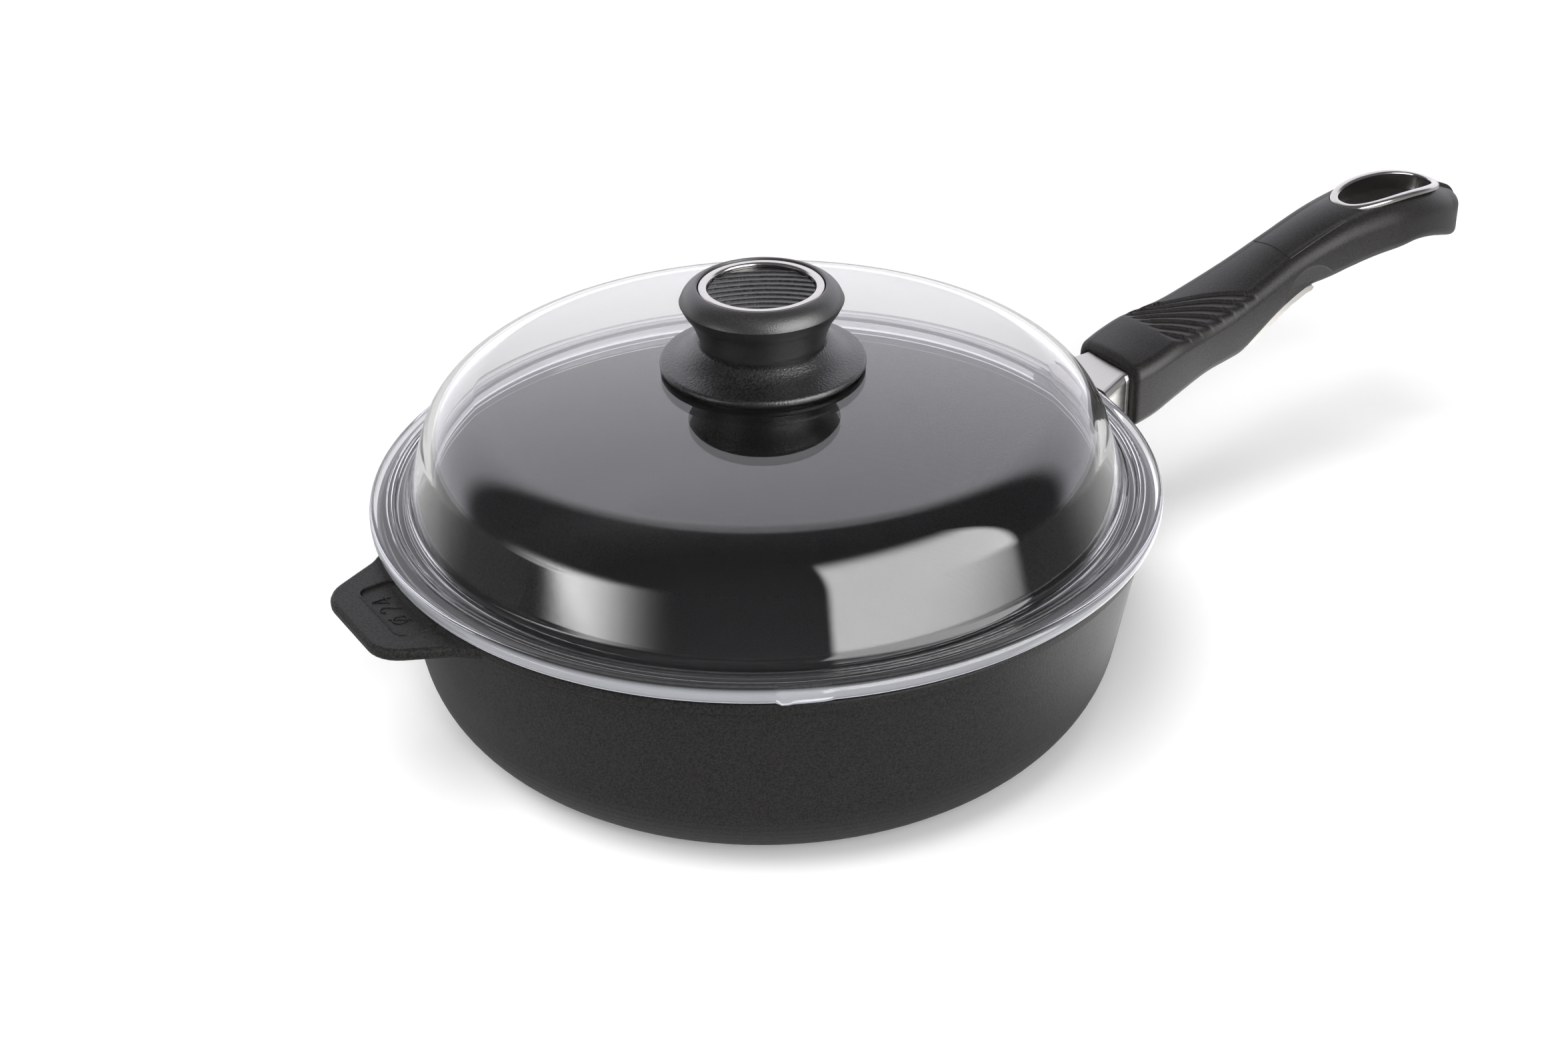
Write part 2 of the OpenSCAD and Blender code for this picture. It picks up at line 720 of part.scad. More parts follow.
function tip_taper(u) = u < tip_share ? 1
    : pow(max(1 - pow((u - tip_share) / (1 - tip_share), tip_power), 0), 1 / tip_power);
function grip_w(u) = grip_half_w * curve(grip_width_share, u) * tip_taper(u);
// The end of the grip is rounded above and below as well
function tip_drop(u, r) = let (d = max(0, r - (1 - u) * grip_l)) r - sqrt(pow(r, 2) - pow(d, 2));
function grip_top(u) = grip_z + grip_h * curve(grip_top_share, u) - tip_drop(u, tip_top_round);
function grip_bottom(u) = grip_z + grip_h * curve(grip_bottom_share, u) + tip_drop(u, tip_low_round);

// Depth of the flutes: they run aslant, each with a steep edge and a gentle one, and fade at both ends
function flute_phase(u, v) =
    (u - flute_start_share + flute_skew_share * v - flute_bow_share * v * (1 - v))
    / (flute_end_share - flute_start_share) * flute_count;
function flute_cut(u, v) =
    let (p = flute_phase(u, v), f = p - floor(p), past = (u - flute_line_share) / flute_fade_share)
    (p < 0 || p > flute_count || past < 0) ? 0
        : flute_depth * min(1, past) * min(1, min(v, 1 - v) / flute_side_share)
            * f * min(1, (1 - f) / flute_step_share);

// Section of the grip: across, and height
function grip_section(u, inset) =
    let (w = grip_w(u) - inset, zt = grip_top(u) - inset, zb = grip_bottom(u) + inset,
         rt = min(grip_half_w * curve(top_corner_share, u), corner_limit * w),
         rb = min(low_corner_r, corner_limit * w),
         crown = grip_half_w * curve(crown_share, u), m = w - rt)
    concat(
        arc(w - rt, zt - crown - rt, rt, 0, 75, 5),
        [for (i = [0:14]) let (t = 1 - i / 7) [t * m, zt - crown * t * t]],
        arc(-w + rt, zt - crown - rt, rt, 105, 180, 5),
        arc(-w + rb, zb + rb, rb, 180, 270, 4),
        arc(w - rb, zb + rb, rb, 270, 360, 4));
function grip_ring(u, inset) =
    [for (p = grip_section(u, inset))
        let (v = 0.5 + p[0] / (2 * grip_w(u)),
             on_top = p[1] > grip_top(u) - grip_half_w / 3)
        [grip_x + u * grip_l, p[0], p[1] - (on_top ? flute_cut(u, v) : 0)]];

// The rounded front: along it, and how much of its rounding is left there, both as shares
front_rings_share = [[0, 1], [0.22, 0.5], [0.6, 0.12], [1, 0]];
grip_stations = concat(
    [for (i = [1:5]) grip_front_share + (flute_line_share - grip_front_share) * i / 6],
    [for (i = [0:40]) flute_line_share + (flute_end_share - flute_line_share) * i / 40],
    [for (i = [1:22]) flute_end_share + (tip_share - flute_end_share) * i / 22],
    [for (i = [1:13]) tip_share + (1 - tip_share) * sin(tip_turn * i / 13)]);

// One point of a full oval, and the oval as a flat shape
function oval_point(half_l, half_w, a) =
    [half_l * sign(cos(a)) * pow(abs(cos(a)), 2 / eye_power),
     half_w * sign(sin(a)) * pow(abs(sin(a)), 2 / eye_power)];
module oval(half_l, half_w) {
    polygon([for (i = [0:eye_steps - 1]) oval_point(half_l, half_w, 360 * i / eye_steps)]);
}
// Height of the hanging ring along the handle
function eye_z(x) = eye_top - grip_h * eye_arch_share / 2 * pow((x - eye_x) / eye_half_l, 2);

// A point of the grip's side view, from shares of its length and rise
function side_point(p) = [grip_x + p[0] * grip_l, grip_z + p[1] * grip_h];

// Room for the lever, open downwards
module lever_room() {
    rotate([90, 0, 0])
        linear_extrude(2 * (lever_half_w + lever_gap), center = true)
            polygon(concat([for (p = cavity_roof_share) side_point(p)],
                           [side_point([cavity_end_share, 0]), side_point([cavity_x_share, 0])]));
}

// Pocket for the channel, slot for the tongue, room for the leaf and for the arm of the lever
module socket() {
    on_tongue() {
        translate([-channel_h, 0, 0])
            rotate([90, 0, 90])
                linear_extrude(channel_h + socket_depth + seat_gap)
                    polygon(rounded([[channel_half_w + slide_gap, slide_gap],
                                     [-channel_half_w - slide_gap, slide_gap],
                                     [-channel_half_w - slide_gap, -channel_h - slide_gap],
                                     [channel_half_w + slide_gap, -channel_h - slide_gap]],
                                    [bend_r, bend_r, 2 * slide_gap, 2 * slide_gap]));
        translate([0, -tongue_half_w - slide_gap, -sheet_t - slide_gap])
            cube([tongue_l + slide_gap, 2 * (tongue_half_w + slide_gap), sheet_t + 2 * slide_gap]);
        translate([leaf_s - seat_gap, -leaf_half_w - slide_gap, -sheet_t - room_h])
            cube([pin_x - tongue_x - leaf_s, 2 * (leaf_half_w + slide_gap), room_h]);
    }
}

module handle_grip() {
    color("#2b2b2c")
        difference() {
            skin(concat(
                [for (f = front_rings_share) grip_ring(grip_front_share * f[0], grip_front_round * f[1])],
                [for (u = grip_stations) grip_ring(u, 0)]));
            socket();
            lever_room();
            // Pin bores
            translate([pin_x, 0, pin_z])
                rotate([90, 0, 0]) cylinder(r = pin_r + pin_gap, h = pin_l, center = true);
            // Hanging hole, with a seat for the rim of the ring
            translate([eye_x, 0, 0])
                linear_extrude(2 * eye_top)
                    oval(eye_half_l - eye_rim + eye_wall + seat_gap,
                         eye_half_w - eye_rim + eye_wall + seat_gap);
            intersection() {
                translate([eye_x, 0, 0])
                    linear_extrude(2 * eye_top)
                        oval(eye_half_l + 2 * seat_gap, eye_half_w + 2 * seat_gap);
                rotate([90, 0, 0])
                    linear_extrude(4 * grip_half_w, center = true)
                        polygon(concat(
                            [for (i = [-6:6]) let (x = eye_x + i * eye_half_l / 5)
                                [x, eye_z(x) - eye_rim_t - seat_gap]],
                            [[eye_x + 2 * eye_half_l, eye_top + grip_h],
                             [eye_x - 2 * eye_half_l, eye_top + grip_h]]));
            }
            // Finger scoops
            for (side = [-1, 1])
                translate([grip_x + scoop_x_share * grip_l,
                           side * (grip_w(scoop_x_share) - scoop_depth / 4),
                           grip_z + scoop_z_share * grip_h])
                    rotate([0, 0, side * scoop_tilt])
                        rotate([-90 * side, 0, 0]) cylinder(r = scoop_r, h = grip_half_w);
            // Screw that holds the leaf
            on_tongue()
                translate([sscrew_s, 0, -grip_h]) {
                    cylinder(r = sscrew_r, h = grip_h - sheet_t);
                    cylinder(r = sscrew_head_r + seat_gap, h = grip_h - sheet_t - leaf_gap - sscrew_l);
                }
        }
}

// Ring: a bead on the rim and a wall that lines the hole
module hanging_ring() {
    section = concat(
        [[0, -eye_depth], [eye_wall, -eye_depth], [eye_wall, -eye_rim_t], [eye_rim, -eye_rim_t],
         [eye_rim, -eye_rim_t / 4]],
        [for (a = [20:35:160]) [eye_rim / 2 + eye_rim / 2 * cos(a), eye_bead * sin(a) - eye_rim_t / 4]],
        [[0, -eye_rim_t / 4]]);
    color("silver")
        skin([for (i = [0:eye_steps - 1])
                [for (p = section)
                    let (q = oval_point(eye_half_l - eye_rim + p[0], eye_half_w - eye_rim + p[0],
                                        -360 * i / eye_steps))
                    [eye_x + q[0], q[1], eye_z(eye_x + q[0]) + p[1]]]],
             closed = true);
}

module lever_pin() {
    color("silver")
        translate([pin_x, 0, pin_z])
            rotate([90, 0, 0]) cylinder(r = pin_r, h = pin_l - 2 * seat_gap, center = true);
}

// Leaf: clamped at its front, with the lock tooth near its end and a tail under the arm
module latch_spring() {
    top = -sheet_t - leaf_gap;
    tooth_s = window_s + window_l / 2 - slide_gap;
    color("lightsteelblue")
        on_tongue()
            difference() {
                union() {
                    rotate([90, 0, 0])
                        linear_extrude(2 * leaf_half_w, center = true)
                            polygon([[leaf_s, top - leaf_t], [leaf_step_s, top - leaf_t],
                                     [leaf_step_s + leaf_step / 2, top - leaf_step - leaf_t],
                                     [leaf_tail_s, top - leaf_step - leaf_t],
                                     [leaf_tail_s, top - leaf_step],
                                     [leaf_step_s + leaf_step / 2 + leaf_t / 2, top - leaf_step],
                                     [leaf_step_s + leaf_t / 2, top], [leaf_s, top]]);
                    rotate([90, 0, 0])
                        linear_extrude(2 * (window_half_w - slide_gap), center = true)
                            polygon([[tooth_s - window_l + 2 * slide_gap, top - leaf_t / 2],
                                     [tooth_s, top - leaf_t / 2], [tooth_s, -sheet_t + tooth_rise],
                                     [tooth_s - window_l / 3, -sheet_t + tooth_rise]]);
                }
                translate([sscrew_s, 0, top - leaf_t - over])
                    cylinder(r = sscrew_r, h = leaf_t + 2 * over);
            }
}

// Screw from below, tapped into the leaf
module spring_screw() {
    on_tongue()
        color("silver")
            translate([sscrew_s, 0, -sheet_t - leaf_gap - sscrew_l]) {
                cylinder(r = sscrew_r - pin_gap, h = sscrew_l);
                translate([0, 0, -sscrew_head_h])
                    difference() {
                        cylinder(r = sscrew_head_r, h = sscrew_head_h);
                        translate([0, 0, -over])
                            cylinder(r = sscrew_head_r / 2, h = over + sscrew_head_h / 2, $fn = 6);
                    }
            }
}

// Lever: a paddle below the grip, a hub on the pin and an arm to the tail of the leaf
module release_lever() {
    tail_top = -sheet_t - leaf_gap - leaf_step;
    low = tongue_point(leaf_step_s + leaf_step, 0, tail_top + arm_gap);
    high = tongue_point(leaf_step_s + leaf_step, 0, tail_top + arm_gap + arm_t);
    past = tongue_point(leaf_tail_s + slide_gap, 0, tail_top + arm_gap);
    color("silver")
        difference() {
            union() {
                rotate([90, 0, 0])
                    linear_extrude(2 * lever_half_w, center = true)
                        polygon([for (p = concat(lever_under_share, lever_top_share)) side_point(p)]);
                translate([pin_x, 0, pin_z])
                    rotate([90, 0, 0]) cylinder(r = hub_r, h = 2 * arm_half_w, center = true);
                rotate([90, 0, 0])
                    linear_extrude(2 * arm_half_w, center = true)
                        polygon([[low[0], low[2]], [past[0], past[2]],
                                 [pin_x - hub_r, pin_z - hub_r / 2],
                                 side_point(lever_under_share[0]), side_point(lever_under_share[1]),
                                 side_point([lever_top_share[7][0], lever_top_share[7][1]]),
                                 [pin_x + hub_r, pin_z], [pin_x, pin_z + hub_r], [high[0], high[2]]]);
            }
            translate([pin_x, 0, pin_z])
                rotate([90, 0, 0])
                    cylinder(r = pin_r + pin_gap, h = 4 * lever_half_w, center = true);
        }
}

pan_body();
handle_bracket();
bracket_screw();
bracket_washer();
lid_glass();
upper_gasket();
lower_gasket();
knob_base();
knob_body();
knob_insert();
knob_ring();
knob_disc();
knob_washer();
knob_screw();
handle_grip();
hanging_ring();
latch_spring();
spring_screw();
lever_pin();
release_lever();
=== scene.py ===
import json
import math

import bmesh
import bpy
from mathutils import Matrix, Vector


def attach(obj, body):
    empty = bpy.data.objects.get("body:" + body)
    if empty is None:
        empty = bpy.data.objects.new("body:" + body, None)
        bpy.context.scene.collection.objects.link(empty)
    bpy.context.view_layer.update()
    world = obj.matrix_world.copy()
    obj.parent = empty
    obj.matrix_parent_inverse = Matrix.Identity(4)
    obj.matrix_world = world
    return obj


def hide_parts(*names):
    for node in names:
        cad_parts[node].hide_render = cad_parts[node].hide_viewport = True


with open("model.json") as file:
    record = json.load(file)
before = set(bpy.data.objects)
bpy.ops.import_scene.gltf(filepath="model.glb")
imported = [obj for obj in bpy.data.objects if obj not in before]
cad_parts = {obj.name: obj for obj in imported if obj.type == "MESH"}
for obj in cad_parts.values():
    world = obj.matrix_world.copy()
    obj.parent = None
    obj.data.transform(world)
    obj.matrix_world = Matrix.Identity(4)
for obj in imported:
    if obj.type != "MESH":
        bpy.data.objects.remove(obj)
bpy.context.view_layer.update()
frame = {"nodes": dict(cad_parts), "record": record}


# Objects and nodes

def mm(value):
    return value / 1000.0


def new_object(name, data):
    """An object for that data, linked into the scene."""
    obj = bpy.data.objects.new(name, data)
    bpy.context.scene.collection.objects.link(obj)
    return obj


def empty_tree(owner, output):
    """A node tree with its output node alone, and that node's surface socket."""
    owner.use_nodes = True
    tree = owner.node_tree
    tree.nodes.clear()
    return tree, tree.nodes.new(output).inputs["Surface"]


def new_material(name):
    mat = bpy.data.materials.new(name)
    tree, surface = empty_tree(mat, "ShaderNodeOutputMaterial")
    bsdf = tree.nodes.new("ShaderNodeBsdfPrincipled")
    tree.links.new(bsdf.outputs["BSDF"], surface)
    return mat, tree, bsdf


def operate(tree, kind, operation, output, sources):
    """A math node of that kind on sources that are sockets, numbers or vectors."""
    node = tree.nodes.new(kind)
    node.operation = operation
    for socket, source in zip(node.inputs, sources):
        if isinstance(source, bpy.types.NodeSocket):
            tree.links.new(source, socket)
        else:
            socket.default_value = source
    return node.outputs[output]


def number(tree, operation, *sources):
    return operate(tree, "ShaderNodeMath", operation, "Value", sources)


def length(tree, source):
    return operate(tree, "ShaderNodeVectorMath", "LENGTH", "Value", [source])


def along(tree, source, way):
    """How far a vector reaches along a unit vector."""
    return operate(tree, "ShaderNodeVectorMath", "DOT_PRODUCT", "Value", [source, way])


def highest(tree, *sources):
    total = sources[0]
    for source in sources[1:]:
        total = number(tree, "MAXIMUM", total, source)
    return total


def object_place(tree):
    return tree.nodes.new("ShaderNodeTexCoord").outputs["Object"]


def noise(tree, place, scale, detail, roughness=0.5):
    node = tree.nodes.new("ShaderNodeTexNoise")
    node.inputs["Scale"].default_value = scale
    node.inputs["Detail"].default_value = detail
    node.inputs["Roughness"].default_value = roughness
    tree.links.new(place, node.inputs["Vector"])
    return node.outputs["Fac"]


def ramp(tree, source, low, high, low_color, high_color):
    node = tree.nodes.new("ShaderNodeValToRGB")
    for element, position, color in zip(node.color_ramp.elements, (low, high), (low_color, high_color)):
        element.position = position
        element.color = (*color, 1.0)
    tree.links.new(source, node.inputs["Fac"])
    return node.outputs["Color"]


def remap(tree, source, low, high, start=0.0, end=1.0, kind="LINEAR"):
    """Takes the values from start to end to those from low to high."""
    node = tree.nodes.new("ShaderNodeMapRange")
    node.interpolation_type = kind
    node.inputs["From Min"].default_value = start
    node.inputs["From Max"].default_value = end
    node.inputs["To Min"].default_value = low
    node.inputs["To Max"].default_value = high
    tree.links.new(source, node.inputs["Value"])
    return node.outputs["Result"]


def fade(tree, source, start, end):
    """Goes smoothly from 0 at start to 1 at end."""
    return remap(tree, source, 0.0, 1.0, start, end, "SMOOTHSTEP")


def bump(tree, bsdf, source, depth):
    node = tree.nodes.new("ShaderNodeBump")
    node.inputs["Distance"].default_value = depth
    node.inputs["Strength"].default_value = 1.0
    tree.links.new(source, node.inputs["Height"])
    tree.links.new(node.outputs["Normal"], bsdf.inputs["Normal"])


# Materials: colours are linear, lengths in metres

GRAIN_DETAIL = 2.0
GRAIN_ROUGHNESS = 0.6
GRAIN_BAND = (0.35, 0.65)
CLOUD_SHARE = 1 / 40
CLOUD_ROUGHNESS = 0.55
BRUSH_DARK = 0.93
BRUSH_BAND = (0.3, 0.7)
BRUSH_GLOSS = (0.8, 1.2)
GLASS_IOR = 1.474
GLASS_WAVE = 14.0
GLASS_WAVE_DETAIL = 1.0
GLASS_WAVE_ROUGHNESS = 0.55
GLASS_WAVE_DEPTH = 0.00002
GLASS_EDGE_BAND = (0.0, 0.08)
LONG_BRUSH = (0.05, 1.0, 1.0)
EVEN_BRUSH = (1.0, 1.0, 1.0)


def grained(name, color, spread, roughness, rough_spread, grain, depth, gloss):
    """A moulded or coated surface: grain of that scale and depth, with a slight change of colour."""
    mat, tree, bsdf = new_material(name)
    bsdf.inputs["Specular IOR Level"].default_value = gloss
    dark = [c * (1 - spread) for c in color]
    light = [c * (1 + spread) for c in color]
    place = object_place(tree)
    fine = noise(tree, place, grain, GRAIN_DETAIL, GRAIN_ROUGHNESS)
    tree.links.new(ramp(tree, fine, *GRAIN_BAND, dark, light), bsdf.inputs["Base Color"])
    cloud = noise(tree, place, grain * CLOUD_SHARE, GRAIN_DETAIL, CLOUD_ROUGHNESS)
    rough = remap(tree, cloud, roughness - rough_spread, roughness + rough_spread)
    tree.links.new(rough, bsdf.inputs["Roughness"])
    bump(tree, bsdf, fine, depth)
    return mat


def brushed(name, color, roughness, grain, depth, stretch):
    """Metal with fine brushing, which the stretch draws out along one axis."""
    mat, tree, bsdf = new_material(name)
    bsdf.inputs["Metallic"].default_value = 1.0
    mapping = tree.nodes.new("ShaderNodeMapping")
    mapping.inputs["Scale"].default_value = stretch
    tree.links.new(object_place(tree), mapping.inputs["Vector"])
    lines = noise(tree, mapping.outputs["Vector"], grain, GRAIN_DETAIL)
    dark = [c * BRUSH_DARK for c in color]
    tree.links.new(ramp(tree, lines, *BRUSH_BAND, dark, color), bsdf.inputs["Base Color"])
    rough = remap(tree, lines, roughness * BRUSH_GLOSS[0], roughness * BRUSH_GLOSS[1])
    tree.links.new(rough, bsdf.inputs["Roughness"])
    bump(tree, bsdf, lines, depth)
    return mat


def clear_glass(name, tint, painted_edge_color, painted_edge_bands, roughness):
    """Glass that turns pale and less clear towards its edge, as painted light for the light the clear glass
    carries through its edge: inner radius, outer radius and share of each band.
    """
    mat, tree, bsdf = new_material(name)
    place = object_place(tree)
    flat = operate(tree, "ShaderNodeVectorMath", "MULTIPLY", "Vector", [place, (1.0, 1.0, 0.0)])
    radius = length(tree, flat)
    # Painted light: pale, less clear bands towards the edge stand in for the light that the glass carries
    # through it.
    shares = [remap(tree, radius, 0.0, share, inner, outer) for inner, outer, share in painted_edge_bands]
    painted_edge_share = highest(tree, *shares)
    tree.links.new(ramp(tree, painted_edge_share, *GLASS_EDGE_BAND, tint, painted_edge_color), bsdf.inputs["Base Color"])
    tree.links.new(remap(tree, painted_edge_share, 1.0, 0.0), bsdf.inputs["Transmission Weight"])
    bsdf.inputs["IOR"].default_value = GLASS_IOR
    bsdf.inputs["Roughness"].default_value = roughness
    wave = noise(tree, place, GLASS_WAVE, GLASS_WAVE_DETAIL, GLASS_WAVE_ROUGHNESS)
    bump(tree, bsdf, wave, GLASS_WAVE_DEPTH)
    return mat


COATING = grained("pan_coating", color=(0.0155, 0.0149, 0.0144), spread=0.6,
                  roughness=0.5, rough_spread=0.04, grain=1500.0, depth=0.00009, gloss=0.2)
GRIP = grained("grip_plastic", color=(0.0105, 0.0096, 0.009), spread=0.5,
               roughness=0.42, rough_spread=0.04, grain=1500.0, depth=0.00007, gloss=0.36)
KNOB_COARSE = grained("knob_coarse", color=(0.0068, 0.0066, 0.0065), spread=0.9,
                      roughness=0.36, rough_spread=0.05, grain=1300.0, depth=0.00016, gloss=0.75)
KNOB_SATIN = grained("knob_satin", color=(0.019, 0.0183, 0.0179), spread=0.4,
                     roughness=0.37, rough_spread=0.03, grain=2200.0, depth=0.00007, gloss=0.8)
RUBBER = grained("gasket", color=(0.42, 0.42, 0.42), spread=0.08,
                 roughness=0.6, rough_spread=0.05, grain=900.0, depth=0.00003, gloss=0.5)
SATIN = brushed("stainless_satin", color=(0.5, 0.485, 0.465), roughness=0.32,
                grain=900.0, depth=0.000004, stretch=LONG_BRUSH)
POLISHED = brushed("stainless_polished", color=(0.5, 0.483, 0.462), roughness=0.2,
                   grain=700.0, depth=0.000003, stretch=EVEN_BRUSH)
SPRING = brushed("spring_steel", color=(0.4, 0.395, 0.39), roughness=0.3,
                 grain=900.0, depth=0.000004, stretch=LONG_BRUSH)
BRASS = brushed("brass", color=(0.72, 0.53, 0.25), roughness=0.3,
                grain=900.0, depth=0.000004, stretch=EVEN_BRUSH)
# Painted light: the pale lilac, part opaque band on the edge of the flange stands in for the light carried
# through the glass edge.
GLASS = clear_glass("lid_glass", tint=(0.86, 0.855, 0.845), painted_edge_color=(0.8, 0.815, 0.87),
                    painted_edge_bands=((0.1188, 0.121, 0.03), (0.1262, 0.1275, 0.42)), roughness=0.0)

BY_SLOT = {
    "pan_coating": COATING, "grip_plastic": GRIP, "knob_coarse": KNOB_COARSE,
    "knob_satin": KNOB_SATIN, "gasket": RUBBER, "stainless_satin": SATIN,
    "stainless_polished": POLISHED, "spring_steel": SPRING, "brass": BRASS, "lid_glass": GLASS,
}
SLOT_OF = {part["node"]: part["material_slot"] for part in frame["record"]["subparts"]}
CAD_CREASE = 35.0


def dress(obj, mat, crease):
    """One material all over, smooth up to that angle between two faces."""
    obj.data.materials.clear()
    obj.data.materials.append(mat)
    for poly in obj.data.polygons:
        poly.use_smooth = True
        poly.material_index = 0
    edges = obj.modifiers.new("split", "EDGE_SPLIT")
    edges.split_angle = math.radians(crease)


for node, obj in frame["nodes"].items():
    dress(obj, BY_SLOT[SLOT_OF[node]], CAD_CREASE)


# Shapes in the side view or in section, in millimetres

def arc(x, y, r, start, end, steps):
    angles = [math.radians(start + (end - start) * i / steps) for i in range(steps + 1)]
    return [(x + r * math.cos(a), y + r * math.sin(a)) for a in angles]


def round_corner(before, here, after, r, steps):
    before, here, after = Vector(before), Vector(here), Vector(after)
    u, v = (before - here).normalized(), (after - here).normalized()
    half = math.acos(max(-1.0, min(1.0, u.dot(v)))) / 2
    middle = here + (u + v).normalized() * r / math.sin(half)
    p, q = here + u * r / math.tan(half), here + v * r / math.tan(half)
    start = math.degrees(math.atan2(p.y - middle.y, p.x - middle.x))
    turn = math.degrees(math.atan2(q.y - middle.y, q.x - middle.x)) - start
    turn = (turn + 180) % 360 - 180
    return arc(middle.x, middle.y, r, start, start + turn, steps)


def rounded(points, radii, steps):
    """A closed outline with a radius at each of its points."""
    out = []
    for i, r in enumerate(radii):
        before, here, after = points[i - 1], points[i], points[(i + 1) % len(points)]
        out += round_corner(before, here, after, r, steps) if r > 0 else [here]
    return out


def smooth_step(t):
    t = max(0.0, min(1.0, t))
    return t * t * (3 - 2 * t)


def table_curve(table, u):
    """A smooth curve through a table of (place, value)."""
    i = 0
    while i < len(table) - 2 and u > table[i + 1][0]:
        i += 1

    def slope(k):
        a, b = max(k - 1, 0), min(k + 1, len(table) - 1)
        return (table[b][1] - table[a][1]) / (table[b][0] - table[a][0])

    w = table[i + 1][0] - table[i][0]
    s = (u - table[i][0]) / w
    return (table[i][1] * (2 * s**3 - 3 * s**2 + 1) + slope(i) * w * (s**3 - 2 * s**2 + s)
            + table[i + 1][1] * (3 * s**2 - 2 * s**3) + slope(i + 1) * w * (s**3 - s**2))


def mesh_object(name, points, faces):
    """A mesh of points in millimetres, in the CAD's frame."""
    mesh = bpy.data.meshes.new(name)
    mesh.from_pydata([(mm(x), mm(y), mm(z)) for x, y, z in points], [], faces)
    mesh.validate()
    return new_object(name, mesh)


def turn_outward(obj):
    form = bmesh.new()
    form.from_mesh(obj.data)
    bmesh.ops.recalc_face_normals(form, faces=form.faces)
    form.to_mesh(obj.data)
    form.free()


def skin(name, rings, closed):
    """A skin over rings of as many points each, which is closed to a loop or has two flat ends."""
    n, m = len(rings[0]), len(rings)
    faces = []
    for i in range(m if closed else m - 1):
        near, far = i * n, (i + 1) % m * n
        for j in range(n):
            beside = (j + 1) % n
            faces.append((near + j, near + beside, far + beside, far + j))
    if not closed:
        faces += [tuple(range(n)), tuple((m - 1) * n + j for j in reversed(range(n)))]
    obj = mesh_object(name, [point for ring in rings for point in ring], faces)
    turn_outward(obj)
    return obj


def lathe(name, outline, segments, shape=None):
    """A closed outline of (radius, height) turned round the Z axis."""
    rings = []
    for i in range(segments):
        a = 2 * math.pi * i / segments
        ring = [shape(r, z, a) if shape else (r, z) for r, z in outline]
        rings.append([(r * math.cos(a), r * math.sin(a), z) for r, z in ring])
    return skin(name, rings, True)


# Lid: pressed glass, with fine rings on its flange and the mark where it was cut off

PAN_TOP = 75.0
GLASS_T = 4.0
CROWN_R = 700.0
CROWN_TOP = 119.5
CROWN_Z = CROWN_TOP - CROWN_R
SHOULDER_R = 22.0
SHOULDER_GUESS = 81.0
SHOULDER_ROUNDS = 12
DOME_LEAN = 18.0
FOOT_R = 115.7
FOOT_FILLET = 4.0
FLANGE_R = 127.5
FLANGE_TOP = 80.0
FLANGE_ROUND = 2.0
SKIRT_R = 118.45
SKIRT_Z = 72.0
SKIRT_ROUND = 0.8
SKIRT_FILLET = 0.6
SEAT_R = 31.0
HOLE_R = 4.0
BEAD_PLACES = (119.2, 120.4, 121.9)
BEAD_SHARES = (-1, -0.6, -0.3, 0, 0.3, 0.6, 1)
BEAD_H = 0.3
BEAD_HALF_W = 0.32
MARK_ANGLES = (-120.8, -113.4)
MARK_PROUD = 0.75
MARK_THINNER = 0.45
MARK_ENDS = 0.9
MARK_BASE = 1.0
MARK_SAG = 0.35
DROP_ANGLE = -119.6
DROP_HALF = 0.9
DROP_PROUD = 0.5
LID_SEGMENTS = 480
LID_CREASE = 40.0


def dome_wall_r(z):
    return FOOT_R - (z - FLANGE_TOP) * math.tan(math.radians(DOME_LEAN))


def shoulder_middle():
    """The middle of the arc that touches both the crown and the leaning wall."""
    x = SHOULDER_GUESS
    for _ in range(SHOULDER_ROUNDS):
        z = CROWN_Z + math.sqrt((CROWN_R - SHOULDER_R)**2 - x**2)
        x = dome_wall_r(z) - SHOULDER_R / math.cos(math.radians(DOME_LEAN))
    return x, z


SHOULDER_X, SHOULDER_Z = shoulder_middle()
SHOULDER_UP = math.degrees(math.atan2(SHOULDER_Z - CROWN_Z, SHOULDER_X))
GLASS_SEAT = CROWN_Z + math.sqrt(CROWN_R**2 - SEAT_R**2)
GLASS_UNDER = CROWN_Z + math.sqrt((CROWN_R - GLASS_T)**2 - SEAT_R**2)


def flange_beads():
    return [(place + BEAD_HALF_W * share, FLANGE_TOP + BEAD_H * (1 + math.cos(math.pi * share)) / 2)
            for place in BEAD_PLACES for share in BEAD_SHARES]


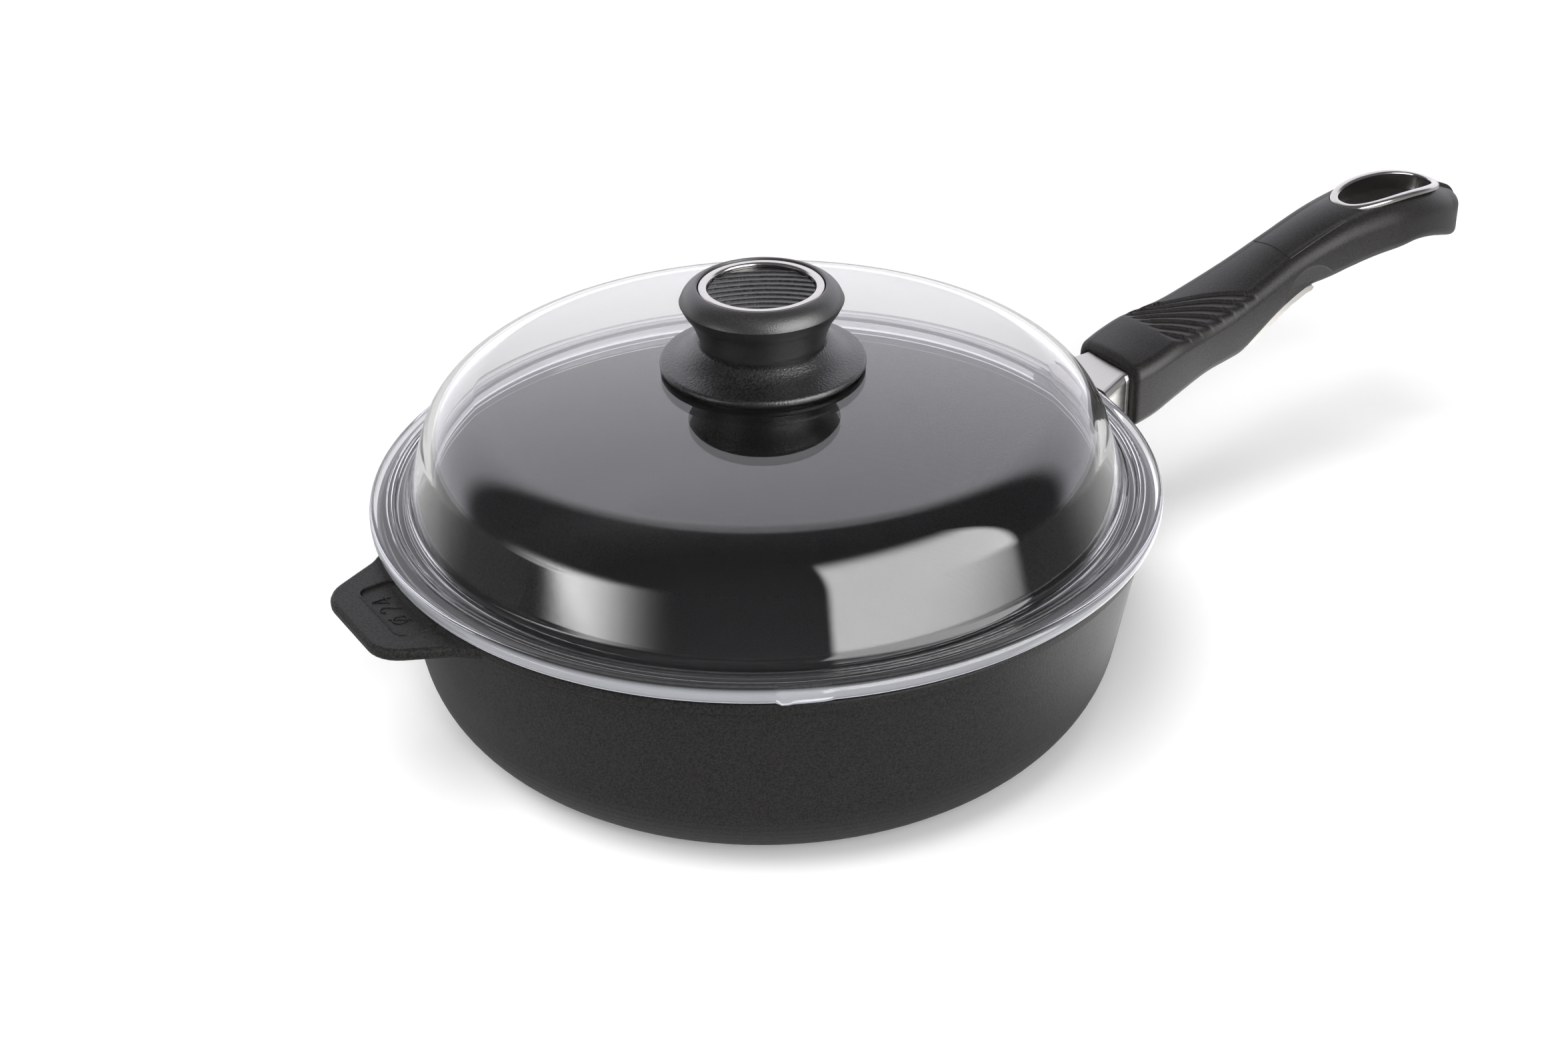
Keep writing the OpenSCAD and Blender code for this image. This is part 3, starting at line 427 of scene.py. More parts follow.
def lid_outline():
    lean = math.radians(DOME_LEAN)
    foot_x = dome_wall_r(FLANGE_TOP + FOOT_FILLET) + FOOT_FILLET / math.cos(lean)
    skirt_in = dome_wall_r(SKIRT_Z) - GLASS_T / math.cos(lean) + SKIRT_ROUND
    skirt_out = SKIRT_R - SKIRT_ROUND
    skirt_z = SKIRT_Z + SKIRT_ROUND
    seat_up = math.degrees(math.acos(SEAT_R / CROWN_R))
    under_up = math.degrees(math.acos(SEAT_R / (CROWN_R - GLASS_T)))
    edge_x = FLANGE_R - FLANGE_ROUND
    return ([(HOLE_R, GLASS_UNDER), (HOLE_R, GLASS_SEAT)]
            + arc(0, CROWN_Z, CROWN_R, seat_up, SHOULDER_UP, 40)
            + arc(SHOULDER_X, SHOULDER_Z, SHOULDER_R, SHOULDER_UP, DOME_LEAN, 48)[1:]
            + arc(foot_x, FLANGE_TOP + FOOT_FILLET, FOOT_FILLET, 180 + DOME_LEAN, 270, 16)
            + flange_beads()
            + arc(edge_x, FLANGE_TOP - FLANGE_ROUND, FLANGE_ROUND, 90, 0, 14)
            + arc(edge_x, PAN_TOP + FLANGE_ROUND, FLANGE_ROUND, 0, -90, 14)
            + arc(SKIRT_R + SKIRT_FILLET, PAN_TOP - SKIRT_FILLET, SKIRT_FILLET, 90, 180, 5)
            + arc(skirt_out, skirt_z, SKIRT_ROUND, 0, -90, 8)
            + arc(skirt_in, skirt_z, SKIRT_ROUND, -90, -180 + DOME_LEAN, 8)
            + arc(SHOULDER_X, SHOULDER_Z, SHOULDER_R - GLASS_T, DOME_LEAN, SHOULDER_UP, 48)
            + arc(0, CROWN_Z, CROWN_R - GLASS_T, SHOULDER_UP, under_up, 40)[1:])


def cut_mark(r, z, a):
    """Where the glass was cut off: a low pad on the edge of the flange, with a drop at one end."""
    root = FLANGE_R - FLANGE_ROUND - MARK_BASE
    if r < root:
        return r, z
    start, end = MARK_ANGLES
    turn = (math.degrees(a) + 180) % 360 - 180
    inside = smooth_step((turn - start) / MARK_ENDS) * smooth_step((end - turn) / MARK_ENDS)
    pad = inside * MARK_PROUD * (1 - MARK_THINNER * max(0.0, (turn - start) / (end - start)))
    pad += DROP_PROUD * smooth_step(1 - abs(turn - DROP_ANGLE) / DROP_HALF)
    pad *= smooth_step((r - root) / (FLANGE_R - root))
    return r + pad, z - MARK_SAG * pad


lid = lathe("glass_dome", lid_outline(), LID_SEGMENTS, cut_mark)
dress(lid, GLASS, LID_CREASE)
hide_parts("lid_glass")
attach(lid, "lid")


# Knob: a flared foot, a head on a narrow neck and a steel ring

KNOB_FOOT_R = 32.7
FOOT_Z = GLASS_SEAT + 0.3
NECK_R = 19.7
NECK_Z = GLASS_SEAT + 9.0
NECK_SUNK = 2.5
NECK_GAP = 0.1
SHELF_R = 21.5
SHELF_ROUND = 2.6
SWEEP_ROUND = 12.0
LIP_T = 2.4
LIP_SLOPE = 0.3
LIP_LOW_ROUND = 1.1
LIP_TOP_ROUND = 1.3
GASKET_T = 1.2
GASKET_ROOM_R = 27.3
BORE_R = 2.7
RING_R = 20.0
RING_W = 3.0
RING_H = 2.6
RING_TOP = GLASS_SEAT + 27.1
RING_ROUND = 0.9
RING_GAP = 0.1
DISC_SUNK = 3.2
# Height above NECK_Z and radius
NECK_TABLE = ((0.0, 19.75), (2.75, 20.5), (4.75, 21.25), (6.75, 22.1), (8.45, 23.05),
              (9.65, 23.95), (10.85, 24.7), (12.05, 25.3), (13.1, 25.8))
HEAD_ROUND = 7.0
HEAD_MIDDLE = (18.9, GLASS_SEAT + 20.7)
HEAD_ANGLES = (12, 74)
# Out and up, from the end of the neck to the seam, and from the ring's room and the head to the mouth
SEAM = (0.05, 0.15)
MOUTH = ((0.25, -0.1), (0.0, -0.5))
KNOB_SEGMENTS = 192
KNOB_CREASE = 30.0


def knob_base_outline():
    lip_z = FOOT_Z + LIP_T
    sweep_x = (NECK_Z - lip_z + SHELF_R - LIP_SLOPE * KNOB_FOOT_R) / (1 - LIP_SLOPE)
    sweep_z = NECK_Z + SHELF_R - sweep_x
    gasket_z, socket_z = GLASS_SEAT + GASKET_T, NECK_Z - NECK_SUNK
    return rounded(
        [(BORE_R, gasket_z), (GASKET_ROOM_R, gasket_z), (GASKET_ROOM_R, FOOT_Z), (KNOB_FOOT_R, FOOT_Z),
         (KNOB_FOOT_R, lip_z), (sweep_x, sweep_z), (SHELF_R, NECK_Z), (NECK_R, NECK_Z),
         (NECK_R, socket_z), (BORE_R, socket_z)],
        [0, 0, 0, LIP_LOW_ROUND, LIP_TOP_ROUND, SWEEP_ROUND, SHELF_ROUND, 0, 0, 0], 20)


def knob_body_outline():
    neck_h = NECK_TABLE[-1][0]
    neck = [(table_curve(NECK_TABLE, neck_h * i / 40), NECK_Z + neck_h * i / 40) for i in range(41)]
    head = arc(*HEAD_MIDDLE, HEAD_ROUND, *HEAD_ANGLES, 30)
    seam = (neck[-1][0] + SEAM[0], neck[-1][1] + SEAM[1])
    room_r = RING_R + RING_GAP
    mouth = [(room_r + out, head[-1][1] + up) for out, up in MOUTH]
    hole_r = RING_R - RING_W - RING_GAP
    ring_z, disc_z, socket_z = RING_TOP - RING_H, RING_TOP - DISC_SUNK, NECK_Z - NECK_SUNK
    return ([(BORE_R, socket_z), (NECK_R - NECK_GAP, socket_z)] + neck + [seam] + head + mouth
            + [(room_r, ring_z), (hole_r, ring_z), (hole_r, disc_z), (BORE_R, disc_z)])


def knob_ring_outline():
    inner, low = RING_R - RING_W, RING_TOP - RING_H
    return rounded([(inner, low), (RING_R, low), (RING_R, RING_TOP), (inner, RING_TOP)],
                   [0, 0, RING_ROUND, RING_ROUND], 10)


for name, node, outline, slot in (
        ("knob_foot", "knob_base", knob_base_outline(), "knob_coarse"),
        ("knob_head", "knob_body", knob_body_outline(), "knob_satin"),
        ("knob_trim", "knob_ring", knob_ring_outline(), "stainless_polished")):
    piece = lathe(name, outline, KNOB_SEGMENTS)
    dress(piece, BY_SLOT[slot], KNOB_CREASE)
    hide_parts(node)
    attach(piece, "lid")


# Grip: u runs from 0 at its front to 1 at its tip

GRIP_X = 141.5
GRIP_Z = 60.0
GRIP_L = 167.0
GRIP_H = 58.4
GRIP_HALF_W = 17.4
FRONT_SHARE = 0.0135
FRONT_ROUND = 2.2
FRONT_STEPS = 9
TIP_SHARE = 0.72
TIP_POWER = 1.7
TIP_TOP_ROUND = 6.0
TIP_LOW_ROUND = 3.0
TIP_TURN = 86.0
TIP_STEPS = 44
TOP_STEPS = 48
SIDE_ROLL = 78
LOW_CORNER = 4.0
CORNER_LIMIT = 0.92
FLUTE_COUNT = 7
FLUTE_DEPTH = 1.2
FLUTE_LINE = 0.102
FLUTE_START = 0.121
FLUTE_END = 0.34
FLUTE_SKEW = 0.195
FLUTE_BOW = 0.096
FLUTE_FADE = 0.025
FLUTE_SIDE = 0.125
FLUTE_STEP = 0.16
FLUTE_ZONE = GRIP_HALF_W / 3
# First u, then a share of GRIP_H in the first two and of GRIP_HALF_W in the others
TOP_TABLE = ((0, 0.411), (0.051, 0.457), (0.111, 0.51), (0.2, 0.555), (0.29, 0.625), (0.38, 0.717),
             (0.47, 0.817), (0.59, 0.925), (0.69, 0.978), (0.76, 0.991), (0.83, 0.98), (0.89, 0.945),
             (0.95, 0.88), (1, 0.81))
BOTTOM_TABLE = ((0, 0), (0.051, 0.053), (0.111, 0.123), (0.2, 0.2), (0.27, 0.24), (0.3, 0.26),
                (0.34, 0.325), (0.4, 0.43), (0.46, 0.515), (0.5, 0.557), (0.53, 0.568), (0.56, 0.58),
                (0.6, 0.603), (0.68, 0.642), (0.757, 0.659), (0.8, 0.664), (0.86, 0.635), (0.93, 0.57),
                (1, 0.49))
WIDTH_TABLE = ((0, 0.935), (0.051, 1), (0.111, 0.985), (0.2, 0.895), (0.29, 0.87), (0.38, 0.81),
               (0.47, 0.776), (0.59, 0.835), (0.71, 0.935), (0.76, 0.96), (1, 0.98))
CORNER_TABLE = ((0, 0.3), (0.56, 0.345), (0.8, 0.48), (1, 0.48))
CROWN_TABLE = ((0, 0.05), (0.4, 0.057), (0.6, 0.08), (1, 0.08))
# Start, end and number of rings of each stretch between the front and the tip
GRIP_SPANS = ((FRONT_SHARE, FLUTE_LINE, 10), (FLUTE_LINE, FLUTE_END, 170), (FLUTE_END, TIP_SHARE, 60))


def tip_drop(u, r):
    """How far a rounding of that radius at the tip takes the surface in."""
    past = max(0.0, r - (1 - u) * GRIP_L)
    return r - math.sqrt(r * r - past * past)


def grip_half_w(u):
    taper = 1.0
    if u > TIP_SHARE:
        taper = max(1 - ((u - TIP_SHARE) / (1 - TIP_SHARE))**TIP_POWER, 0.0)**(1 / TIP_POWER)
    return GRIP_HALF_W * table_curve(WIDTH_TABLE, u) * taper


def grip_top(u):
    return GRIP_Z + GRIP_H * table_curve(TOP_TABLE, u) - tip_drop(u, TIP_TOP_ROUND)


def grip_bottom(u):
    return GRIP_Z + GRIP_H * table_curve(BOTTOM_TABLE, u) + tip_drop(u, TIP_LOW_ROUND)


def grip_corner(u, half_w):
    return min(GRIP_HALF_W * table_curve(CORNER_TABLE, u), CORNER_LIMIT * half_w)


def grip_crown(u):
    return GRIP_HALF_W * table_curve(CROWN_TABLE, u)


def flute_cut(u, v):
    """Depth of the flutes: each has a steep edge and a gentle one, and fades at both ends."""
    slant = FLUTE_SKEW * v - FLUTE_BOW * v * (1 - v)
    flute = (u - FLUTE_START + slant) / (FLUTE_END - FLUTE_START) * FLUTE_COUNT
    past = (u - FLUTE_LINE) / FLUTE_FADE
    if flute < 0 or flute > FLUTE_COUNT or past < 0:
        return 0.0
    share = flute - math.floor(flute)
    side = smooth_step(min(1.0, min(v, 1 - v) / FLUTE_SIDE))
    return FLUTE_DEPTH * smooth_step(past) * side * share * smooth_step((1 - share) / FLUTE_STEP)


def grip_section(u, inset):
    half_w, top, bottom = grip_half_w(u) - inset, grip_top(u) - inset, grip_bottom(u) + inset
    corner, crown = grip_corner(u, half_w), grip_crown(u)
    low = min(LOW_CORNER, CORNER_LIMIT * half_w)
    flat = half_w - corner
    corner_z = top - crown - corner
    shares = [1 - i / TOP_STEPS for i in range(2 * TOP_STEPS + 1)]
    return (arc(flat, corner_z, corner, 0, SIDE_ROLL, 16)
            + [(share * flat, top - crown * share**2) for share in shares]
            + arc(-flat, corner_z, corner, 180 - SIDE_ROLL, 180, 16)
            + arc(-half_w + low, bottom + low, low, 180, 270, 8)
            + arc(half_w - low, bottom + low, low, 270, 360, 8))


def grip_ring(u, inset=0.0):
    width, zone = 2 * grip_half_w(u), grip_top(u) - FLUTE_ZONE
    return [(GRIP_X + u * GRIP_L, y, z - (flute_cut(u, 0.5 + y / width) if z > zone else 0.0))
            for y, z in grip_section(u, inset)]


def grip_rings():
    rings = []
    for i in range(FRONT_STEPS + 1):
        a = math.radians(90 * i / FRONT_STEPS)
        rings.append(grip_ring(FRONT_SHARE * (1 - math.cos(a)), FRONT_ROUND * (1 - math.sin(a))))
    for start, end, steps in GRIP_SPANS:
        rings += [grip_ring(start + (end - start) * i / steps) for i in range(1, steps + 1)]
    for i in range(1, TIP_STEPS + 1):
        a = math.radians(TIP_TURN * i / TIP_STEPS)
        rings.append(grip_ring(TIP_SHARE + (1 - TIP_SHARE) * math.sin(a)))
    return rings


# Cutters for the grip: socket, slot of the tongue, room of the lever, pin bore, eye and side scoops

SLOPE = 11.6
TONGUE_X = 140.0
TONGUE_Z = GRIP_Z + 0.344 * GRIP_H
TONGUE_L = 0.2815 * GRIP_L
TONGUE_HALF_W = 9.0
SHEET_T = 2.0
CHANNEL_H = 0.288 * GRIP_H
CHANNEL_HALF_W = 12.4
BEND_R = 2.8
POCKET_ROUND = 1.4
SOCKET_DEPTH = 7.0
SLIDE_GAP = 0.3
OVERCUT = 0.1
CLEAR_ABOVE = 10.0
PIN_PLACE = (0.344, 0.39)
PIN_BORE_R = 1.55
PIN_REACH = 12.0
LEVER_HALF_W = 9.8
LEVER_GAP = 0.5
# Outline of the lever's room in the side view: u and a share of GRIP_H
ROOM_TABLE = ((0.293, 0.45), (0.34, 0.47), (0.38, 0.47), (0.42, 0.545), (0.453, 0.605),
              (0.5, 0.645), (0.536, 0.645), (0.536, -0.1), (0.293, -0.1))
EYE_X = GRIP_X + 0.7695 * GRIP_L
EYE_TOP = GRIP_Z + 0.985 * GRIP_H
EYE_DROP = 0.05 * GRIP_H
EYE_HALF_L = 23.6
EYE_HALF_W = 12.2
EYE_POWER = 2.4
EYE_RIM = 3.0
EYE_RIM_T = 1.2
EYE_WALL = 1.1
EYE_DEPTH = 6.0
EYE_BEAD = 0.9
EYE_BEAD_LOW = 0.3
EYE_EDGE_LOW = 0.4
EYE_SEAT_GAP = 0.2
EYE_CUT_STEPS = 96
EYE_STEPS = 160
EYE_CREASE = 30.0
SCOOP_R = 12.5
SCOOP_PLACE = (0.4935, 0.497)
SCOOP_DEPTH = 0.4
SCOOP_TILT = 4.0
# Outward from the bottom of the scoop, and how much wider than SCOOP_R it is there
SCOOP_EDGE = ((0.0, -0.9), (0.15, -0.35), (0.5, 0.0), (9.0, 0.0))
GRIP_CREASE = 28.0


def side_point(place):
    return GRIP_X + place[0] * GRIP_L, GRIP_Z + place[1] * GRIP_H


def on_tongue(s, y, h):
    """A point along the tongue, across it and above its top face."""
    a = math.radians(SLOPE)
    return (TONGUE_X + s * math.cos(a) - h * math.sin(a), y,
            TONGUE_Z + s * math.sin(a) + h * math.cos(a))


def eye_z(x):
    """Height of the rim of the hanging hole, which follows the grip's arch."""
    return EYE_TOP - EYE_DROP * ((x - EYE_X) / EYE_HALF_L)**2


def oval(half_l, half_w, steps):
    out = []
    for i in range(steps):
        a = -2 * math.pi * i / steps
        c, s = math.cos(a), math.sin(a)
        out.append((math.copysign(half_l * abs(c)**(2 / EYE_POWER), c),
                    math.copysign(half_w * abs(s)**(2 / EYE_POWER), s)))
    return out


def tongue_prism(name, section, start, end):
    return skin(name, [[on_tongue(s, y, h) for y, h in section] for s in (start, end)], False)


def cross_prism(name, section, half_w):
    return skin(name, [[(x, y, z) for x, z in section] for y in (-half_w, half_w)], False)


def eye_prism(name, half_l, half_w, bottom):
    """An upright oval at the hanging hole, from a height that bottom gives for each x."""
    section = [(EYE_X + x, y) for x, y in oval(half_l, half_w, EYE_CUT_STEPS)]
    return skin(name, [[(x, y, bottom(x)) for x, y in section],
                       [(x, y, EYE_TOP + CLEAR_ABOVE) for x, y in section]], False)


def scoop_cutter(side):
    """A shallow dish in one side of the grip, round and slightly turned with that side."""
    x0, z0 = side_point(SCOOP_PLACE)
    y0 = side * (grip_half_w(SCOOP_PLACE[0]) - SCOOP_DEPTH)
    c, s = math.cos(math.radians(SCOOP_TILT)), math.sin(math.radians(SCOOP_TILT))
    rings = [[(x0 + x * c - side * out * s, y0 + side * (x * s + out * c), z0 + z)
              for x, z in arc(0, 0, SCOOP_R + wider, 0, 354, 59)] for out, wider in SCOOP_EDGE]
    return skin("cut_scoop", rings, False)


def make_cutters():
    pocket_w, pocket_h = CHANNEL_HALF_W + SLIDE_GAP, CHANNEL_H + SLIDE_GAP
    pocket = rounded([(pocket_w, SLIDE_GAP), (-pocket_w, SLIDE_GAP), (-pocket_w, -pocket_h),
                      (pocket_w, -pocket_h)], [BEND_R, BEND_R, POCKET_ROUND, POCKET_ROUND], 8)
    slot_w, slot_h = TONGUE_HALF_W + SLIDE_GAP, SHEET_T + SLIDE_GAP
    slot = [(slot_w, SLIDE_GAP), (-slot_w, SLIDE_GAP), (-slot_w, -slot_h), (slot_w, -slot_h)]
    room = [side_point(place) for place in ROOM_TABLE]
    bore = arc(*side_point(PIN_PLACE), PIN_BORE_R, 0, 348, 29)
    hole = EYE_WALL - EYE_RIM + OVERCUT
    return [tongue_prism("cut_pocket", pocket, -CHANNEL_H, SOCKET_DEPTH + OVERCUT),
            tongue_prism("cut_slot", slot, 0, TONGUE_L + SLIDE_GAP),
            cross_prism("cut_room", room, LEVER_HALF_W + LEVER_GAP),
            cross_prism("cut_pin", bore, PIN_REACH),
            eye_prism("cut_hole", EYE_HALF_L + hole, EYE_HALF_W + hole, lambda x: GRIP_Z),
            eye_prism("cut_seat", EYE_HALF_L + EYE_SEAT_GAP, EYE_HALF_W + EYE_SEAT_GAP,
                      lambda x: eye_z(x) - EYE_RIM_T - OVERCUT),
            scoop_cutter(-1), scoop_cutter(1)]


def carve(obj, cutters):
    """Cuts the cutters out of a piece and keeps the result as its mesh."""
    for cutter in cutters:
        cut = obj.modifiers.new("cut", "BOOLEAN")
        cut.operation = "DIFFERENCE"
        cut.solver = "EXACT"
        cut.object = cutter
    graph = bpy.context.evaluated_depsgraph_get()
    mesh = bpy.data.meshes.new_from_object(obj.evaluated_get(graph))
    obj.modifiers.clear()
    obj.data = mesh
    for cutter in cutters:
        bpy.data.objects.remove(cutter)


grip = skin("grip_shell", grip_rings(), False)
carve(grip, make_cutters())
dress(grip, GRIP, GRIP_CREASE)
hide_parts("handle_grip")
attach(grip, "handle")


# Liner of the hanging hole: a thin wall with a beaded rim on top

def liner_rings():
    half = EYE_RIM / 2
    bead = arc(0, 0, 1, 0, 180, 18)
    section = ([(0, -EYE_DEPTH), (EYE_WALL, -EYE_DEPTH), (EYE_WALL, -EYE_RIM_T), (EYE_RIM, -EYE_RIM_T),
                (EYE_RIM, -EYE_EDGE_LOW)]
               + [(half + half * x, EYE_BEAD * y - EYE_BEAD_LOW) for x, y in bead]
               + [(0, -EYE_EDGE_LOW)])
    ovals = [oval(EYE_HALF_L - EYE_RIM + out, EYE_HALF_W - EYE_RIM + out, EYE_STEPS) for out, _ in section]
    rings = []
    for i in range(EYE_STEPS):
        ring = [(EYE_X + points[i][0], points[i][1], up) for points, (_, up) in zip(ovals, section)]
        rings.append([(x, y, eye_z(x) + up) for x, y, up in ring])
    return rings


liner = skin("eye_liner", liner_rings(), True)
dress(liner, POLISHED, EYE_CREASE)
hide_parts("hanging_ring")
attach(liner, "handle")


# Plain plate let into the top of the grip: a thin sheet that follows the arch, with a fine edge

PLATE_X = (215.5, 242.1)
PLATE_HALF_W = 9.9
PLATE_PROUD = 0.22
PLATE_SUNK = 0.2
PLATE_EDGE = 0.25
PLATE_STEPS = 40
PLATE_CREASE = 25.0


def grip_surface(x, y):
    """Height of the grip's top, with its corners, at a place away from the flutes."""
    u = (x - GRIP_X) / GRIP_L
    half_w, top, crown = grip_half_w(u), grip_top(u), grip_crown(u)
    corner = grip_corner(u, half_w)
    flat = half_w - corner
    if abs(y) <= flat:
        return top - crown * (y / flat)**2
    return top - crown - corner + math.sqrt(max(corner * corner - (abs(y) - flat)**2, 0.0))


def plate_places(start, end):
    """Places from one edge of the plate to the other, with a narrow step at both."""
    inner = end - start - 2 * PLATE_EDGE
    return ([start] + [start + PLATE_EDGE + inner * i / PLATE_STEPS for i in range(PLATE_STEPS + 1)]
            + [end])


def plate_sheet():
    xs, ys = plate_places(*PLATE_X), plate_places(-PLATE_HALF_W, PLATE_HALF_W)
    points, faces = [], []
    for x in xs:
        for y in ys:
            rim = x in PLATE_X or abs(y) == PLATE_HALF_W
            points.append((x, y, grip_surface(x, y) + (-PLATE_SUNK if rim else PLATE_PROUD)))
    n = len(ys)
    for i in range(len(xs) - 1):
        for j in range(n - 1):
            faces.append((i * n + j, (i + 1) * n + j, (i + 1) * n + j + 1, i * n + j + 1))
    return mesh_object("grip_plate", points, faces)


plate = plate_sheet()
dress(plate, GRIP, PLATE_CREASE)
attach(plate, "handle")


# Recess edge of the lug and the size mark in it, as fine raised strokes

MARK_Z = 72.7
MARK_HEIGHT = 6.0
MARK_WIDE = 2.85
MARK_STROKE = 0.52
MARK_RISE = 0.38
MARK_X = -132.4
MARK_Y = 0.6
LUG_TOP = 73.5
RECESS_X = (-137.3, -124.0)
RECESS_HALF_W = (15.75, 16.75)
RECESS_R = 4.0
RECESS_STROKE = 0.8
RECESS_RISE = 0.28


def sign_paths():
    """The signs in units of their height, across and up: a circle, its slash, a two and a four."""
    circle = [(0.36 + 0.34 * x, 0.5 + 0.38 * y) for x, y in arc(0, 0, 1, 0, 360, 24)]
    slash = [(0.02, 0.0), (0.7, 1.0)]
    two = arc(1.6, 0.75, 0.25, 165, -30, 13) + [(1.33, 0.0), (1.9, 0.0)]
    four = [(2.62, 0.0), (2.62, 1.0), (2.15, 0.3), (2.85, 0.3)]
    return [circle, slash, two, four]


def mark_paths():
    """The mark reads towards +Y, with the tops of the signs towards -X."""
    z = MARK_Z - MARK_STROKE / 2 + MARK_RISE
    return [[(MARK_X - (up - 0.5) * MARK_HEIGHT, MARK_Y + (across - MARK_WIDE / 2) * MARK_HEIGHT, z)
             for across, up in path] for path in sign_paths()]


def recess_path():
    (left, right), (left_w, right_w) = RECESS_X, RECESS_HALF_W
    corners = [(left, left_w), (left, -left_w), (right, -right_w), (right, right_w)]
    z = LUG_TOP - RECESS_STROKE / 2 + RECESS_RISE
    return [(x, y, z) for x, y in rounded(corners, [RECESS_R] * 4, 16)]


def stroke_object(name, paths, stroke, closed):
    """Rounded strokes along paths in millimetres."""
    curve = bpy.data.curves.new(name, "CURVE")
    curve.dimensions = "3D"
    curve.bevel_depth = mm(stroke / 2)
    curve.bevel_resolution = 3
    for path in paths:
        spline = curve.splines.new("POLY")
        spline.points.add(len(path) - 1)
        spline.use_cyclic_u = closed
        for point, (x, y, z) in zip(spline.points, path):
            point.co = (mm(x), mm(y), mm(z), 1.0)
    obj = new_object(name, curve)
    obj.data.materials.append(COATING)
    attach(obj, "pan")


stroke_object("size_mark", mark_paths(), MARK_STROKE, False)
stroke_object("recess_edge", [recess_path()], RECESS_STROKE, True)


# Stage

# Lengths in metres, the camera's in millimetres; angles in degrees, azimuth from +X towards +Y
FLOOR_SIZE = 6.0
FLOOR_DROP = 0.0001
FLOOR_COLOR = 0.98
FLOOR_ROUGHNESS = 0.9
FLOOR_GLOSS = 0.1
FLOOR_MIRRORED = 0.65
FLOOR_THROUGH = 0.78
FLOOR_DULL = 0.5
FLOOR_LIFT = 0.06
# What mirrors see of the floor: dim from the first radius on, white within the second
TABLE_R = (0.62, 0.42)
TABLE_HALF_ANGLE = 75.0
TABLE_SOFT = 0.12
TABLE_DARK = 0.3
# Azimuth, elevation, strength and angular size of each
KEY_LIGHTS = ((-146.0, 60.0, 1.9, 30.0), (-118.0, 33.0, 2.25, 30.0))
AMBIENT = 0.16
STUDIO_DARK = 0.17
SWEEP_LEVEL = 1.6
SWEEP_COLOR = (0.93, 0.925, 1.0)
SWEEP_MIDDLE = (58.0, -20.0)
# White up to the first angle from its middle, gone at the second
SWEEP_SPREAD = (68.0, 80.0)
SOFTBOX_DISTANCE = 0.6
CAMERA_PLACE = (-350.1, -575.7, 447.6)
CAMERA_TARGET = (4.74, -2.88, 60.71)
CAMERA_ROLL = -1.16
CAMERA_LENS = 54.35
CAMERA_SENSOR = 36.0
CAMERA_NEAR = 0.01
BLACK = (0.0, 0.0, 0.0)
WHITE = (1.0, 1.0, 1.0)


def direction(azimuth, elevation):
    a, e = math.radians(azimuth), math.radians(elevation)
    return Vector((math.cos(a) * math.cos(e), math.sin(a) * math.cos(e), math.sin(e)))


def table_shade(tree):
    """Level of the floor in what mirrors it: white near the pan and behind it, dim beyond the table."""
    place = object_place(tree)
    away = length(tree, place)
    back = along(tree, place, direction(SWEEP_MIDDLE[0], 0.0))
    side = number(tree, "MULTIPLY", away, math.cos(math.radians(TABLE_HALF_ANGLE)))
    behind = number(tree, "SUBTRACT", back, side)
    near = fade(tree, away, *TABLE_R)
    return remap(tree, highest(tree, near, fade(tree, behind, -TABLE_SOFT, TABLE_SOFT)), TABLE_DARK, 1.0)


def white_ground():
    """A pale table that shows as white, apart from the shadows on it."""
    mat, tree, bsdf = new_material("floor")
    bsdf.inputs["Roughness"].default_value = FLOOR_ROUGHNESS
    bsdf.inputs["Specular IOR Level"].default_value = FLOOR_GLOSS
    bsdf.inputs["Emission Color"].default_value = (*WHITE, 1.0)
    ray = tree.nodes.new("ShaderNodeLightPath").outputs
    table = table_shade(tree)
    mirrored, through, dull = [
        number(tree, "MULTIPLY", ray[kind], share) for kind, share in (
            ("Is Glossy Ray", FLOOR_MIRRORED), ("Is Transmission Ray", FLOOR_THROUGH),
            ("Is Diffuse Ray", FLOOR_DULL))]
    mirrored = number(tree, "MULTIPLY", mirrored, table)
    through = number(tree, "MULTIPLY", through, table)
    seen = highest(tree, ray["Is Camera Ray"], through, mirrored, dull)
    tree.links.new(ramp(tree, seen, 0.0, 1.0, BLACK, [FLOOR_COLOR] * 3), bsdf.inputs["Base Color"])
    lift = remap(tree, highest(tree, ray["Is Camera Ray"], through), 0.0, FLOOR_LIFT)
    tree.links.new(lift, bsdf.inputs["Emission Strength"])
    return mat


def make_floor():
    half = FLOOR_SIZE / 2
    mesh = bpy.data.meshes.new("floor")
    corners = [(-half, -half, 0), (half, -half, 0), (half, half, 0), (-half, half, 0)]
    mesh.from_pydata(corners, [], [(0, 1, 2, 3)])
    mesh.materials.append(white_ground())
    floor = new_object("floor", mesh)
    floor.location.z = -FLOOR_DROP


def make_camera():
    """The camera stands where the photograph was taken from."""
    place, target = [Vector([mm(value) for value in point]) for point in (CAMERA_PLACE, CAMERA_TARGET)]
    roll = math.radians(CAMERA_ROLL)
    forward = (target - place).normalized()
    right = forward.cross(Vector((0, 0, 1))).normalized()
    up = right.cross(forward)
    right_rolled = math.cos(roll) * right + math.sin(roll) * up
    up_rolled = -math.sin(roll) * right + math.cos(roll) * up
    turn = Matrix((right_rolled, up_rolled, -forward)).transposed()
    data = bpy.data.cameras.new("camera")
    data.lens = CAMERA_LENS
    data.sensor_width = CAMERA_SENSOR
    data.sensor_fit = "HORIZONTAL"
    data.clip_start = CAMERA_NEAR
    camera = new_object("camera", data)
    camera.matrix_world = Matrix.Translation(place) @ turn.to_4x4()
    bpy.context.scene.camera = camera


